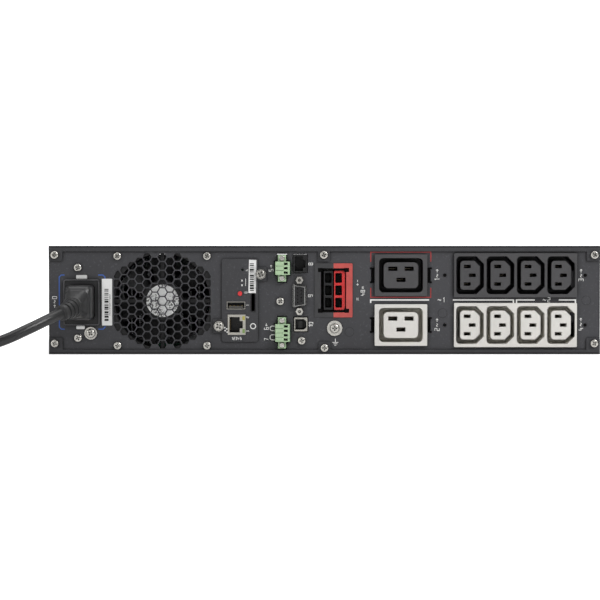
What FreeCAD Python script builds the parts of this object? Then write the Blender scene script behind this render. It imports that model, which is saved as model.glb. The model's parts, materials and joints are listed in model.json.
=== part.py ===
import FreeCAD, Part
import os
import re
from math import cos, degrees, hypot, pi, radians, sin, sqrt, tan

import Sketcher

# Rackmount uninterruptible power supply, two rack units high.
# X points right as seen from the socket side, -Y is the socket side, +Z is up.
# The origin is the centre of the underside. Lengths are millimetres.

DIMENSIONS = {
    # case
    "width": 440, "height": 86.5, "rear": 300, "front": 272, "bezel_depth": 28,
    "sheet": 1.2, "panel": 1.5, "lip_top": 4.5, "lip_low": 3.6, "tab_wide": 11, "tab_mid": 9.5,
    "tab_top": 12, "tab_low": 13, "tab_low_mid": 9.9, "seam": 0.05, "flange": 10,
    "corner_screw_x": 215.2, "screw_top_z": 79.2, "screw_low_z": 8.6, "screw_mid_low_z": 5,
    "screw_head": 3.1, "screw_head_tall": 1.9, "screw_shank": 1.5, "screw_hole": 1.6, "screw_long": 8,
    "board_screw_x": -35.3, "board_screw_z": 42.2, "low_screw_x": -18.2, "low_screw_z": 10.7,
    "ear_hole": 2, "ear_hole_front": 20, "ear_hole_gap": 40, "ear_hole_z": 43.25, "ear_hole_tall": 50,
    "emboss": 3.4,
    # fan
    "fan_x": -129.5, "fan_z": 42.5, "fan_size": 80, "fan_deep": 25, "fan_bore": 38, "fan_pitch": 35.75,
    "fan_hub": 16.5, "fan_shaft": 1.5, "fan_gap": 0.05, "fan_tip": 36.8,
    "hex_across": 6.1, "hex_wall": 0.9, "grille_half": 38.7, "grille_round": 43.5,
    # inlet, plug and cord
    "inlet_x": -193.7, "inlet_z": 41.4, "inlet_wide": 28.9, "inlet_tall": 36.8, "inlet_flange": 2.2,
    "inlet_deep": 24, "cavity_wide": 20.8, "cavity_tall": 27.8, "cavity_deep": 20, "plug_gap": 0.2,
    "blade_wide": 8, "blade_thick": 2, "inlet_screw_x": -196.8, "inlet_screw_top": 69.1,
    "inlet_screw_low": 12.9, "grip_wide": 21.6, "grip_tall": 28.2, "grip_long": 27,
    "cord": 4.2, "boot": 7.2, "boot_long": 14,
    # network card
    "card_left": -81.9, "card_right": -53.1, "card_low": 9.9, "card_top": 76.1, "card_plate": 1.2,
    "card_screw_right_x": -50.8, "card_screw_right_z": 63.8, "card_screw_left_x": -84.3,
    "card_screw_left_z": 22.4, "captive": 4.1, "captive_tall": 3.2, "collar_tall": 1.8,
    "card_long": 128, "card_board": 1.6, "card_board_x": -78.4,
    "restart_x": -67.4, "restart_z": 48.4, "restart": 1.8,
    # terminals
    "terminal_pitch": 3.5, "terminal_wide": 11.9, "ear_wide": 6.4, "ear_tall": 5.4, "cutout_gap": 0.8,
    "terminal_x": -33.45, "ear_x": -33.9, "relay_z": 68.65, "remote_z": 17.15, "terminal_out": 6.5,
    # service ports
    "jack_x": -19.4, "jack_z": 72.25, "jack_wide": 11, "jack_tall": 14.1, "jack_deep": 16,
    "serial_x": -20, "serial_z": 46.6, "serial_screw": 12.5, "serial_pin": 2.77,
    "usb_x": -18.9, "usb_z": 23.8, "usb_wide": 10.4, "usb_tall": 11,
    "service_board_x": -27.4, "service_board": 1.4, "service_board_long": 30,
    # battery connector
    "battery_x": 7.2, "battery_z": 50.95, "battery_bezel_wide": 30.3, "battery_bezel_tall": 43.1,
    "battery_open_wide": 20.2, "battery_open_tall": 33.9, "battery_cell": 9.9, "battery_block": 7.2,
    "battery_wall": 1.6,
    # outlets
    "large_x": 60.95, "upper_z": 63, "lower_z": 23.3, "large_wide": 41.9, "large_tall": 33.2,
    "large_groove_wide": 35, "large_groove_tall": 27.4, "large_core_wide": 27.5, "large_core_tall": 20.6,
    "bank_x": 152.3, "bank_wide": 97.9, "bank_tall": 35.2, "small_pitch": 24.2,
    "small_groove_wide": 22.2, "small_groove_tall": 30.2, "small_core_wide": 15.5,
    "small_core_tall": 23, "outlet_rim": 2.2, "outlet_corner": 0.7,
    "outlet_deep": 26, "groove_deep": 18, "slot_long": 5.5, "slot_tall": 2.8,
    "large_slot_long": 7.3, "large_slot_tall": 3.4,
    "contact_depth": 12,
    "lens_left_x": 96, "lens_right_x": 208, "lens": 1.3,
    # ground screws
    "ground_x": 8.1, "ground_z": 20.7, "ground_washer": 6.1, "bond_x": -186.6, "bond_z": 16.7,
    "bond_washer": 5,
    # front
    "cover_left": -212, "cover_right": 88, "cover_low": 5, "cover_top": 79.5, "cover_thick": 12,
    "pod_x": 154, "pod_z": 43.25, "pod": 35, "pod_gap": 0.4, "neck": 12, "neck_gap": 0.05,
    "window_wide": 46, "window_tall": 27, "key": 3.4, "key_gap": 0.15,
    "power_key_x": 104, "power_key": 5,
    # battery
    "cell_long": 151, "cell_wide": 94, "cell_tall": 65, "tray_left": -209, "tray_wide": 286,
    "tray_long": 309.5, "tray_low": 5.4, "tray_gap": 0.6,
}

doc = FreeCAD.newDocument("rackmount_ups")
sheet = doc.addObject("Spreadsheet::Sheet", "Sizes")
nodes = []


def fill_sheet():
    for row, (name, size) in enumerate(DIMENSIONS.items(), start=1):
        sheet.set(f"A{row}", name)
        sheet.set(f"B{row}", str(size))
        sheet.setAlias(f"B{row}", name)
    doc.recompute()


def bound(text):
    """Point every dimension name in a formula at the sheet."""
    def link(word):
        return "Sizes." + word.group(0) if word.group(0) in DIMENSIONS else word.group(0)
    return re.sub(r"[a-z_][a-z_0-9]*", link, str(text))


def value(text):
    return float(sheet.evalExpression(bound(text).replace("Sizes.", "")))


# ---- outlines -----------------------------------------------------------------------------


class Drawing:
    """Geometry and constraints collected for one sketch, with the formula behind each size."""

    def __init__(self):
        self.shapes = []
        self.constraints = []
        self.formulas = {}

    def shape(self, geometry):
        self.shapes.append(geometry)
        return len(self.shapes) - 1

    def tie(self, *parts):
        self.constraints.append(Sketcher.Constraint(*parts))

    def size(self, kind, formula, *parts):
        self.formulas[len(self.constraints)] = formula
        self.tie(kind, *parts, value(formula))

    def fill(self, sketch):
        sketch.addGeometry(self.shapes, False)
        sketch.addConstraint(self.constraints)
        for number, formula in self.formulas.items():
            sketch.setExpression(f"Constraints[{number}]", bound(formula))


def corner_loop(corners):
    """Closed outline through (x, y, radius) corners; radius 0 leaves the corner sharp."""
    def draw(plan):
        points = [FreeCAD.Vector(value(x), value(y), 0) for x, y, _ in corners]
        radii = [value(r) for _, _, r in corners]
        count = len(points)
        starts, ends = [], []
        for k in range(count):
            before = (points[k - 1] - points[k]).normalize()
            after = (points[(k + 1) % count] - points[k]).normalize()
            ends.append(points[k] + before * radii[k])
            starts.append(points[k] + after * radii[k])
        lines = [plan.shape(Part.LineSegment(starts[k], ends[(k + 1) % count])) for k in range(count)]
        for k, (x, y, radius) in enumerate(corners):
            if radii[k]:
                round_corner(plan, lines[k - 1], lines[k], ends[k], points[k], starts[k], radius)
            else:
                plan.tie("Coincident", lines[k - 1], 2, lines[k], 1)
                plan.size("DistanceX", x, -1, 1, lines[k], 1)
                plan.size("DistanceY", y, -1, 1, lines[k], 1)
            following = (k + 1) % count
            if not (radii[k] or radii[following]):
                continue
            upright = abs(points[k].x - points[following].x) < 1e-6
            plan.tie("Vertical" if upright else "Horizontal", lines[k])
            if radii[k] and radii[following]:
                kind, formula = ("DistanceX", x) if upright else ("DistanceY", y)
                plan.size(kind, formula, -1, 1, lines[k], 1)
    return draw


def round_corner(plan, before, after, end, corner, start, radius):
    """Arc that runs on from line before into line after."""
    centre = end + start - corner
    middle = centre + (corner - centre).normalize() * (end - centre).Length
    curve = Part.Arc(end, middle, start)
    forward = curve.StartPoint.distanceToPoint(end) < 1e-6
    arc = plan.shape(curve)
    first, last = (1, 2) if forward else (2, 1)
    plan.tie("Tangent", before, 2, arc, first)
    plan.tie("Tangent", arc, last, after, 1)
    plan.size("Radius", radius, arc)


def box(left, low, right, top, radius=0):
    return corner_loop([(left, low, radius), (right, low, radius), (right, top, radius),
                        (left, top, radius)])


def centred(x, z, wide, tall, radius=0):
    return box(f"{x} - ({wide})/2", f"{z} - ({tall})/2", f"{x} + ({wide})/2", f"{z} + ({tall})/2",
               radius)


def disc(x, z, radius):
    def draw(plan):
        centre = FreeCAD.Vector(value(x), value(z), 0)
        circle = plan.shape(Part.Circle(centre, FreeCAD.Vector(0, 0, 1), value(radius)))
        plan.size("Radius", radius, circle)
        plan.size("DistanceX", x, -1, 1, circle, 3)
        plan.size("DistanceY", z, -1, 1, circle, 3)
    return draw


def keyed(x, z, wide, tall, radius, chamfer):
    """Outlet outline: rounded on the left, chamfered on the right."""
    left, right = f"{x} - {wide}/2", f"{x} + {wide}/2"
    low, top = f"{z} - {tall}/2", f"{z} + {tall}/2"
    return corner_loop([(left, low, radius), (f"{right} - {chamfer}", low, 0),
                        (right, f"{low} + {chamfer}", 0), (right, f"{top} - {chamfer}", 0),
                        (f"{right} - {chamfer}", top, 0), (left, top, radius)])


# ---- features -----------------------------------------------------------------------------


def body(label, x=0, z=0, y="-rear"):
    """A body whose outward direction -Y starts at the panel's outer face."""
    made = doc.addObject("PartDesign::Body", label)
    made.Label = label
    made.setExpression("Placement.Base.x", bound(x))
    made.setExpression("Placement.Base.y", bound(y))
    made.setExpression("Placement.Base.z", bound(z))
    return made


def node(made):
    nodes.append(made)
    return made


def outline(owner, outlines, level, role):
    sketch = owner.newObject("Sketcher::SketchObject", "Outline")
    plane = [p for p in owner.Origin.OriginFeatures if p.Role == role][0]
    sketch.AttachmentSupport = [(plane, "")]
    sketch.MapMode = "FlatFace"
    sketch.setExpression("AttachmentOffset.Base.z", bound(level))
    plan = Drawing()
    for draw in outlines if isinstance(outlines, list) else [outlines]:
        draw(plan)
    plan.fill(sketch)
    return sketch


def add(owner, outlines, start, end, role="XZ_Plane"):
    """Pad from start to end along the plane's outward direction."""
    sketch = outline(owner, outlines, start, role)
    pad = owner.newObject("PartDesign::Pad", "Pad")
    pad.Profile = sketch
    pad.setExpression("Length", bound(f"({end}) - ({start})"))
    sketch.Visibility = False
    return pad


def cut(owner, outlines, start, end, role="XZ_Plane"):
    """Pocket from end back to start."""
    sketch = outline(owner, outlines, end, role)
    pocket = owner.newObject("PartDesign::Pocket", "Pocket")
    pocket.Profile = sketch
    pocket.setExpression("Length", bound(f"({end}) - ({start})"))
    sketch.Visibility = False
    return pocket


def axis_of(owner, role):
    return [a for a in owner.Origin.OriginFeatures if a.Role == role][0]


def row(owner, feature, role, length, count):
    pattern = owner.newObject("PartDesign::LinearPattern", "Row")
    pattern.Originals = [feature]
    pattern.Direction = (axis_of(owner, role), [""])
    pattern.setExpression("Length", bound(length))
    pattern.Occurrences = count
    owner.Tip = pattern
    return pattern


def around(owner, feature, count):
    pattern = owner.newObject("PartDesign::PolarPattern", "Ring")
    pattern.Originals = [feature]
    pattern.Axis = (axis_of(owner, "Y_Axis"), [""])
    pattern.Angle = 360
    pattern.Occurrences = count
    owner.Tip = pattern
    return pattern


def solid(label, shape, place=(0, 0, 0)):
    """A shape built from the sheet's sizes where no sketch feature fits."""
    made = doc.addObject("Part::Feature", label)
    made.Label = label
    made.Shape = shape
    made.Placement.Base = FreeCAD.Vector(*place)
    return made


def on_panel(x, z):
    return (value(x), -value("rear"), value(z))


def outward_cylinder(x, z, start, end, radius):
    base = FreeCAD.Vector(x, -start, z)
    return Part.makeCylinder(radius, end - start, base, FreeCAD.Vector(0, -1, 0))


def tube(points, radius, bend):
    """Round cord through the points: straight runs joined by bends of one radius."""
    points = [FreeCAD.Vector(*p) for p in points]
    start = points[0]
    cord = None
    for k in range(1, len(points)):
        heading = (points[k] - points[k - 1]).normalize()
        setback = 0
        if k < len(points) - 1:
            following = (points[k + 1] - points[k]).normalize()
            turn = heading.getAngle(following)
            setback = bend * tan(turn / 2)
        end = points[k] - heading * setback
        run = Part.makeCylinder(radius, (end - start).Length, start, heading)
        cord = cord.fuse(run) if cord else run
        if setback:
            axis = heading.cross(following).normalize()
            centre = end + axis.cross(heading) * bend
            face = Part.Face(Part.Wire([Part.Circle(end, heading, radius).toShape()]))
            cord = cord.fuse(face.revolve(centre, axis, degrees(turn)))
            start = points[k] + following * setback
    return cord.removeSplitter()


# ---- case ---------------------------------------------------------------------------------


def chassis_tray():
    tray = node(body("chassis_tray", y=0))
    half = "width/2"
    wall_top = "height - sheet - seam"
    add(tray, box(f"-{half}", "-(rear + sheet)", half, "front"), 0, "sheet", "XY_Plane")
    for side in ("-", ""):
        inner = f"{side}({half} - sheet)"
        outer = f"{side}{half}"
        edges = (outer, inner) if side else (inner, outer)
        add(tray, box(edges[0], "-rear", edges[1], "front"), "sheet", wall_top, "XY_Plane")
        reach = f"{side}({half} - flange)"
        edges = (outer, reach) if side else (reach, outer)
        add(tray, box(edges[0], "-(rear - 14)", edges[1], "front"), f"{wall_top} - sheet",
            wall_top, "XY_Plane")
    add(tray, box(f"-{half}", 0, half, "lip_low"), "rear", "rear + sheet")
    for tab in (box(f"-{half}", "lip_low - 2.5", f"-{half} + tab_wide", "tab_low", 1.2),
                box(f"{half} - tab_wide", "lip_low - 2.5", half, "tab_low", 1.2),
                box("-tab_mid/2", "lip_low - 2.5", "tab_mid/2", "tab_low_mid", 1.2)):
        add(tray, tab, "rear", "rear + sheet")
    low_holes = [disc("-corner_screw_x", "screw_low_z", "screw_hole"),
                 disc("corner_screw_x", "screw_low_z", "screw_hole"),
                 disc(0, "screw_mid_low_z", "screw_hole")]
    cut(tray, low_holes, "rear - 1", "rear + sheet")
    ears = [disc(f"front - ear_hole_front - {step}*ear_hole_gap", f"ear_hole_z + {side}*ear_hole_tall/2",
                 "ear_hole") for step in (0, 1) for side in (-1, 1)]
    cut(tray, ears, "-width/2", "width/2", "YZ_Plane")
    slot = cut(tray, box("-250", 20, "-246", 66, 1.8), "-width/2", "width/2", "YZ_Plane")
    row(tray, slot, "Y_Axis", 104, 14)
    return tray


def top_cover():
    cover = node(body("top_cover", y=0))
    half = "width/2"
    add(cover, box(f"-{half}", "-(rear + sheet)", half, "front"), "height - sheet", "height", "XY_Plane")
    add(cover, box(f"-{half}", "height - lip_top", half, "height - sheet"), "rear", "rear + sheet")
    for tab in (box(f"-{half}", "height - tab_top", f"-{half} + tab_wide", "height - lip_top + 2.5", 1.2),
                box(f"{half} - tab_wide", "height - tab_top", half, "height - lip_top + 2.5", 1.2),
                box("-tab_mid/2 - 0.5", "height - tab_top - 0.5", "tab_mid/2 - 0.5",
                    "height - lip_top + 2.5", 1.2)):
        add(cover, tab, "rear", "rear + sheet")
    top_holes = [disc("-corner_screw_x", "screw_top_z", "screw_hole"),
                 disc("corner_screw_x", "screw_top_z", "screw_hole"),
                 disc(-0.5, "screw_top_z", "screw_hole")]
    cut(cover, top_holes, "rear", "rear + sheet")
    return cover


PANEL_SCREWS = [("-corner_screw_x", "screw_top_z", "sheet"), ("corner_screw_x", "screw_top_z", "sheet"),
                (-0.5, "screw_top_z", "sheet"), ("-corner_screw_x", "screw_low_z", "sheet"),
                ("corner_screw_x", "screw_low_z", "sheet"), (0, "screw_mid_low_z", "sheet"),
                ("board_screw_x", "board_screw_z", 0), ("low_screw_x", "low_screw_z", 0),
                ("inlet_screw_x", "inlet_screw_top", 0), ("inlet_screw_x", "inlet_screw_low", 0)]
FAN_SCREWS = [(f"fan_x + {i}*fan_pitch", f"fan_z + {j}*fan_pitch", 0) for i in (-1, 1) for j in (-1, 1)]
GROUND_SCREWS = [("ground_x", "ground_z", "ground_washer"), ("bond_x", "bond_z", "bond_washer")]
CARD_SCREWS = [("card_screw_right_x", "card_screw_right_z"), ("card_screw_left_x", "card_screw_left_z")]
LENSES = [(x, z) for x in ("lens_left_x", "lens_right_x") for z in ("upper_z", "lower_z")]


def panel_openings():
    """Groups of openings in the rear panel, apart from the fan grille."""
    screws = [disc(x, z, "screw_hole") for x, z, _ in PANEL_SCREWS + FAN_SCREWS + GROUND_SCREWS]
    screws += [disc(x, z, "screw_hole") for x, z in CARD_SCREWS]
    screws += [disc("serial_x", f"serial_z + {s}*serial_screw", "screw_hole") for s in (-1, 1)]
    yield screws
    yield [disc(x, z, "lens + 0.1") for x, z in LENSES]
    yield [centred("inlet_x", "inlet_z", "inlet_wide - 2", "inlet_tall - 2", 1.5),
           box("card_left + 1.4", "card_low + 2.2", "card_right - 2", "card_top - 2.2", 1)]
    yield [terminal_outline("relay_z", 3, "cutout_gap")]
    yield [terminal_outline("remote_z", 4, "cutout_gap")]
    yield [centred("jack_x", "jack_z", "jack_wide + cutout_gap", "jack_tall + cutout_gap", 0.5),
           serial_outline("serial_x", "serial_z", 11.4, 19.7)]
    yield [centred("usb_x", "usb_z", "usb_wide + 2*cutout_gap", "usb_tall + 2*cutout_gap", 0.8),
           centred("battery_x", "battery_z", "battery_open_wide + 0.4", "battery_open_tall + 0.4", 1)]
    for z in ("upper_z", "lower_z"):
        yield [centred("large_x", z, "large_wide - 3.4", "large_tall - 3.4", 2),
               centred("bank_x", z, "bank_wide - 4", "bank_tall - 3.4", 2)]
        yield [centred(f"large_x + {s}*22.4", z, 2.7, 12.3, 0.4) for s in (-1, 1)]


def terminal_outline(z, ways, gap):
    """Cross-shaped outline: the terminal body with a narrower ear above and below it."""
    tall = f"({ways}*terminal_pitch/2 + {gap})"
    reach = f"({ways}*terminal_pitch/2 + ear_tall + {gap})"
    left, right = f"terminal_x - terminal_wide/2 - {gap}", f"terminal_x + terminal_wide/2 + {gap}"
    ear_left, ear_right = f"ear_x - ear_wide/2 - {gap}", f"ear_x + ear_wide/2 + {gap}"
    points = [(ear_left, f"{z} - {reach}"), (ear_right, f"{z} - {reach}"), (ear_right, f"{z} - {tall}"),
              (right, f"{z} - {tall}"), (right, f"{z} + {tall}"), (ear_right, f"{z} + {tall}"),
              (ear_right, f"{z} + {reach}"), (ear_left, f"{z} + {reach}"), (ear_left, f"{z} + {tall}"),
              (left, f"{z} + {tall}"), (left, f"{z} - {tall}"), (ear_left, f"{z} - {tall}")]
    return corner_loop([(x, y, 0) for x, y in points])


def serial_outline(x, z, wide, tall):
    """D outline, wider on its left side."""
    skew = wide * 0.17
    return corner_loop([(f"{x} - {wide}/2", f"{z} - {tall}/2", 0),
                        (f"{x} + {wide}/2", f"{z} - {tall}/2 + {skew}", 0),
                        (f"{x} + {wide}/2", f"{z} + {tall}/2 - {skew}", 0),
                        (f"{x} - {wide}/2", f"{z} + {tall}/2", 0)])


def fan_grille_cutter():
    """Honeycomb of hexagonal holes, trimmed to the fan's opening."""
    across, wall = value("hex_across"), value("hex_wall")
    pitch = across + wall
    step = pitch * sqrt(3) / 2
    corner = across / sqrt(3)
    half, round_off = value("grille_half"), value("grille_round")
    depth = value("panel")
    holes = []
    for column in range(-6, 7):
        for place in range(-6, 7):
            x = column * step
            z = (place + 0.5 * (column % 2)) * pitch
            if hypot(x, z) > 42 or abs(z) > 35.5:
                continue
            points = [FreeCAD.Vector(x + corner * cos(k * pi / 3), 0, z + corner * sin(k * pi / 3))
                      for k in range(7)]
            holes.append(Part.Face(Part.makePolygon(points)).extrude(FreeCAD.Vector(0, depth, 0)))
    window = Part.makeBox(2 * half, depth, 2 * round_off, FreeCAD.Vector(-half, 0, -round_off))
    window = window.common(outward_cylinder(0, 0, -depth, 0, round_off))
    return Part.makeCompound(holes).common(window)


def rear_panel():
    plate = body("rear_panel_sheet")
    half = "width/2 - sheet - seam"
    add(plate, box(f"-({half})", "sheet + seam", half, "height - sheet - seam"), "-panel", 0)
    for side in ("-", ""):
        edges = [f"{side}({half})", f"{side}({half} - panel)"]
        edges = edges if side else edges[::-1]
        add(plate, box(edges[0], "sheet + seam", edges[1], "height - 2*sheet - 2*seam"), "-13", "-panel")
    emboss = [disc(19.9, 17.8, "emboss"), disc(94.2, 32.7, "emboss"), disc(208.9, 42.9, "emboss")]
    add(plate, emboss, 0, 0.2)
    for group in panel_openings():
        cut(plate, group, "-panel", 0.5)
    grille = solid("fan_grille_holes", fan_grille_cutter(), on_panel("fan_x", "fan_z"))
    made = doc.addObject("Part::Cut", "rear_panel")
    made.Label = "rear_panel"
    made.Base = plate
    made.Tool = grille
    return node(made)


def screw_shapes(places, head="screw_head", tall="screw_head_tall", shank="screw_shank",
                 length="screw_long", recess=True):
    """Pan-head screws at (x, z, seat) on the panel, with a cross recess."""
    shapes = []
    for number, (x, z, seat) in enumerate(places):
        x, z, seat = value(x), value(z), value(seat)
        top = seat + value(tall)
        screw = outward_cylinder(x, z, seat, top, value(head))
        rim = [e for e in screw.Edges if abs(e.BoundBox.YMax + top) < 1e-6 and e.Length > 1]
        screw = screw.makeFillet(value(tall) * 0.45, rim)
        screw = screw.fuse(outward_cylinder(x, z, seat - value(length), seat, value(shank)))
        if recess:
            screw = screw.cut(cross_recess(x, z, top, value(head), value(tall), 37 * number))
        shapes.append(screw)
    return shapes


def cross_recess(x, z, top, head, tall, turn):
    """Cross-shaped driver recess, turned about the screw's axis."""
    arm, blade, depth = head * 0.58, head * 0.17, tall * 0.6
    cross = Part.makeBox(2 * arm, depth, 2 * blade, FreeCAD.Vector(x - arm, -top, z - blade))
    cross = cross.fuse(Part.makeBox(2 * blade, depth, 2 * arm, FreeCAD.Vector(x - blade, -top, z - arm)))
    cross.rotate(FreeCAD.Vector(x, 0, z), FreeCAD.Vector(0, 1, 0), turn)
    return cross


def fastener_node(label, shapes):
    """Fasteners of one kind share a node as separate solids."""
    return node(solid(label, Part.makeCompound(shapes), (0, -value("rear"), 0)))


def ground_screws():
    """Earth stud and bonding screw, each on its washer."""
    heads = screw_shapes([(x, z, 0.8) for x, z, _ in GROUND_SCREWS], head=3.4, tall=2.3)
    for x, z, outer in GROUND_SCREWS:
        ring = outward_cylinder(value(x), value(z), 0, 0.8, value(outer))
        heads.append(ring.cut(outward_cylinder(value(x), value(z), 0, 0.8, value("screw_hole"))))
    fastener_node("ground_screws", heads)


# ---- fan ----------------------------------------------------------------------------------


def fan():
    frame = node(body("fan_frame", "fan_x", "fan_z"))
    back = "-panel - fan_deep"
    add(frame, centred(0, 0, "fan_size", "fan_size", 4), back, "-panel")
    cut(frame, disc(0, 0, "fan_bore"), back, "-panel")
    add(frame, disc(0, 0, "fan_hub"), "-panel - 5", "-panel - 1.5")
    strut = add(frame, box(-1.6, "fan_hub - 1", 1.6, "fan_bore + 0.6"), "-panel - 4.5", "-panel - 1.5")
    around(frame, strut, 4)
    corners = [(f"{i}*fan_pitch", f"{j}*fan_pitch") for i in (-1, 1) for j in (-1, 1)]
    cut(frame, [disc(x, z, "screw_hole + 0.1") for x, z in corners], back, "-panel")
    cut(frame, disc(0, 0, "fan_shaft + fan_gap"), "-panel - 5", "-panel - 2.5")
    node(solid("fan_rotor", rotor_shape(), on_panel("fan_x", "fan_z")))


def rotor_shape():
    """Hub, shaft and seven swept blades."""
    front = value("panel") + 6
    deep = value("panel") + value("fan_deep") - 1
    hub = outward_cylinder(0, 0, -deep, -front, value("fan_hub") - 0.5)
    shaft = outward_cylinder(0, 0, -front - 1, -value("panel") - 2.6, value("fan_shaft"))
    rotor = hub.fuse(shaft)
    inner, outer = value("fan_hub") - 1.5, value("fan_tip")
    sections = []
    for reach, pitch, chord in ((inner, 48, 17), (outer, 66, 21)):
        lean, turn = chord / 2 * cos(radians(pitch)), chord / 2 * sin(radians(pitch))
        middle = -(front + deep) / 2
        across = [(-turn, -lean), (turn, lean), (turn, lean - 1.3), (-turn, -lean - 1.3)]
        points = [FreeCAD.Vector(x, -middle + y, sqrt(reach ** 2 - x ** 2)) for x, y in across]
        sections.append(Part.makePolygon(points + points[:1]))
    blade = Part.makeLoft(sections, True, True)
    for k in range(7):
        copy = blade.copy()
        copy.rotate(FreeCAD.Vector(0, 0, 0), FreeCAD.Vector(0, 1, 0), k * 360 / 7)
        rotor = rotor.fuse(copy)
    return rotor


# ---- power inlet, plug and cord -------------------------------------------------------------


def blade_outlines(x, z, gap):
    """The three flat inlet blades: two across the inlet and one upright, each with gap around it."""
    across = [centred(x, f"({z}) + {s}*7.2", f"blade_wide + {gap}", f"blade_thick + {gap}") for s in (-1, 1)]
    return across + [centred(f"({x}) - 5.2", z, f"blade_thick + {gap}", f"blade_wide + {gap}")]


def inlet():
    socket = node(body("inlet_socket", "inlet_x", "inlet_z"))
    add(socket, centred(0, 0, "inlet_wide", "inlet_tall", 2), 0, "inlet_flange")
    add(socket, centred(0, 0, "inlet_wide - 2.4", "inlet_tall - 2.4", 1.4), "-inlet_deep", 0)
    cut(socket, centred(0, 0, "cavity_wide", "cavity_tall", 3), "-cavity_deep", "inlet_flange")
    cut(socket, blade_outlines(0, 0, 0), "-inlet_deep", "-cavity_deep")
    clips = node(body("inlet_clips", "inlet_x", "inlet_z"))
    for low, right, top in (("inlet_tall/2 + 0.1", 4.4, "inlet_tall/2 + 3.4"),
                            ("-inlet_tall/2 - 3", 2.4, "-inlet_tall/2 - 0.1")):
        add(clips, box(-4.4, low, right, top, 0.8), 0, 1)


def power_plug():
    plug = node(body("power_plug", "inlet_x", "inlet_z"))
    add(plug, centred(0, 0, "cavity_wide - 2*plug_gap", "cavity_tall - 2*plug_gap", 3),
        "-cavity_deep + 0.5", "inlet_flange + 0.5")
    add(plug, centred(0, 0, "grip_wide", "grip_tall", 5), "inlet_flange + 0.5", "inlet_flange + grip_long")
    add(plug, centred(0, 0, "grip_wide - 6", "grip_tall - 9", 5), "inlet_flange + grip_long",
        "inlet_flange + grip_long + 4")
    cut(plug, blade_outlines(0, 0, 0.4), "-cavity_deep", "-2")
    start = value("inlet_flange + grip_long") + 4
    rings = outward_cylinder(0, 0, start, start + value("boot_long"), value("boot") * 0.72)
    for k in range(3):
        low = start + 1.2 + k * 4.6
        rings = rings.fuse(outward_cylinder(0, 0, low, low + 2.9, value("boot") - 0.5 * k))
    bore = outward_cylinder(0, 0, start, start + value("boot_long"), value("cord"))
    node(solid("plug_boot", rings.cut(bore), on_panel("inlet_x", "inlet_z")))
    x, y, z = on_panel("inlet_x", "inlet_z")
    reach = y - start
    path = [(x, reach, z), (x, reach - 28, z), (x - 50, reach - 54, z - 34), (x - 130, reach - 54, z - 36.9)]
    node(solid("power_cord", tube(path, value("cord"), 20)))


# ---- network card ---------------------------------------------------------------------------


def network_card():
    plate = node(body("card_faceplate"))
    face = "0.05"
    top = f"{face} + card_plate"
    add(plate, box("card_left", "card_low", "card_right", "card_top", 2), face, top)
    add(plate, box("card_right - 1", "card_screw_right_z - 5.5", "card_screw_right_x + 4.6",
                   "card_screw_right_z + 5.5", 0), face, top)
    add(plate, box("card_screw_left_x - 4.6", "card_screw_left_z - 5.5", "card_left + 1",
                   "card_screw_left_z + 5.5", 0), face, top)
    cut(plate, [disc("card_screw_right_x", "card_screw_right_z", "screw_shank + 0.1"),
                disc("card_screw_left_x", "card_screw_left_z", "screw_shank + 0.1"),
                disc("restart_x", "restart_z", "restart + 0.1"),
                disc(-65.4, 67.4, 1.1),
                box(-77.3, 15.4, -62.9, 31.7), box(-78, 35.8, -63.2, 42),
                box(-58.4, 34.4, -55.5, 48.4)], face, top)
    board = node(body("card_board"))
    add(board, box("card_board_x - card_board", "card_low + 4", "card_board_x", "card_top - 4"),
        "-card_long", "-0.5")
    add(board, box("card_board_x", 52, "card_board_x + 18", 68), "-20", "-4")
    lan = node(body("card_lan_jack"))
    add(lan, box(-77.2, 15.5, -63, 31.6), "-17", 1.6)
    cut(lan, corner_loop([(-75.9, 17.4, 0), (-67.6, 17.4, 0), (-67.6, 20.6, 0), (-65.2, 20.6, 0),
                          (-65.2, 26.5, 0), (-67.6, 26.5, 0), (-67.6, 29.7, 0), (-75.9, 29.7, 0)]),
        "-12", 1.6)
    usb = node(body("card_usb_port"))
    add(usb, box(-77.9, 35.9, -63.3, 41.9), "-14", 1.6)
    cut(usb, box(-77.5, 36.3, -63.7, 41.5), "-12.5", 1.6)
    add(usb, box(-76.4, 36.7, -64.8, 38.5), "-12.5", 0.6)
    button = node(body("card_restart_button", "restart_x", "restart_z"))
    add(button, disc(0, 0, "restart"), "-6", 1.7)
    for label, (x, z), turn in zip(("card_screw_upper", "card_screw_lower"), CARD_SCREWS, (20, 55)):
        node(solid(label, captive_screw(turn), on_panel(x, z)))
    rails = node(body("card_rails"))
    for low, top in (("card_low + 1.5", "card_low + 5.5"), ("card_top - 5.5", "card_top - 1.5")):
        add(rails, box("card_board_x - card_board - 1.2", low, "card_board_x + 1.2", top),
            "-card_long - 6", "-3")
    cut(rails, box("card_board_x - card_board - 0.15", "card_low + 3.7", "card_board_x + 0.15",
                   "card_top - 3.7"), "-card_long - 1", "-3")


def captive_screw(turn):
    """Captive panel screw: wide knurled collar, raised head and cross recess."""
    seat = 0.05 + value("card_plate")
    collar_top = seat + value("collar_tall")
    top = seat + value("captive_tall")
    head = outward_cylinder(0, 0, seat, collar_top, value("captive"))
    reach = value("captive") + 0.12
    for k in range(24):
        angle = k * pi / 12
        head = head.cut(outward_cylinder(reach * cos(angle), reach * sin(angle), seat, collar_top, 0.34))
    head = head.fuse(outward_cylinder(0, 0, collar_top, top, value("captive") - 0.9))
    rim = [e for e in head.Edges if abs(e.BoundBox.YMax + top) < 1e-6 and e.Length > 1]
    head = head.makeFillet(0.5, rim)
    head = head.cut(cross_recess(0, 0, top, value("captive"), value("captive_tall"), turn))
    return head.fuse(outward_cylinder(0, 0, seat - 7, seat, value("screw_shank")))


# ---- pluggable terminals --------------------------------------------------------------------


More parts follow.
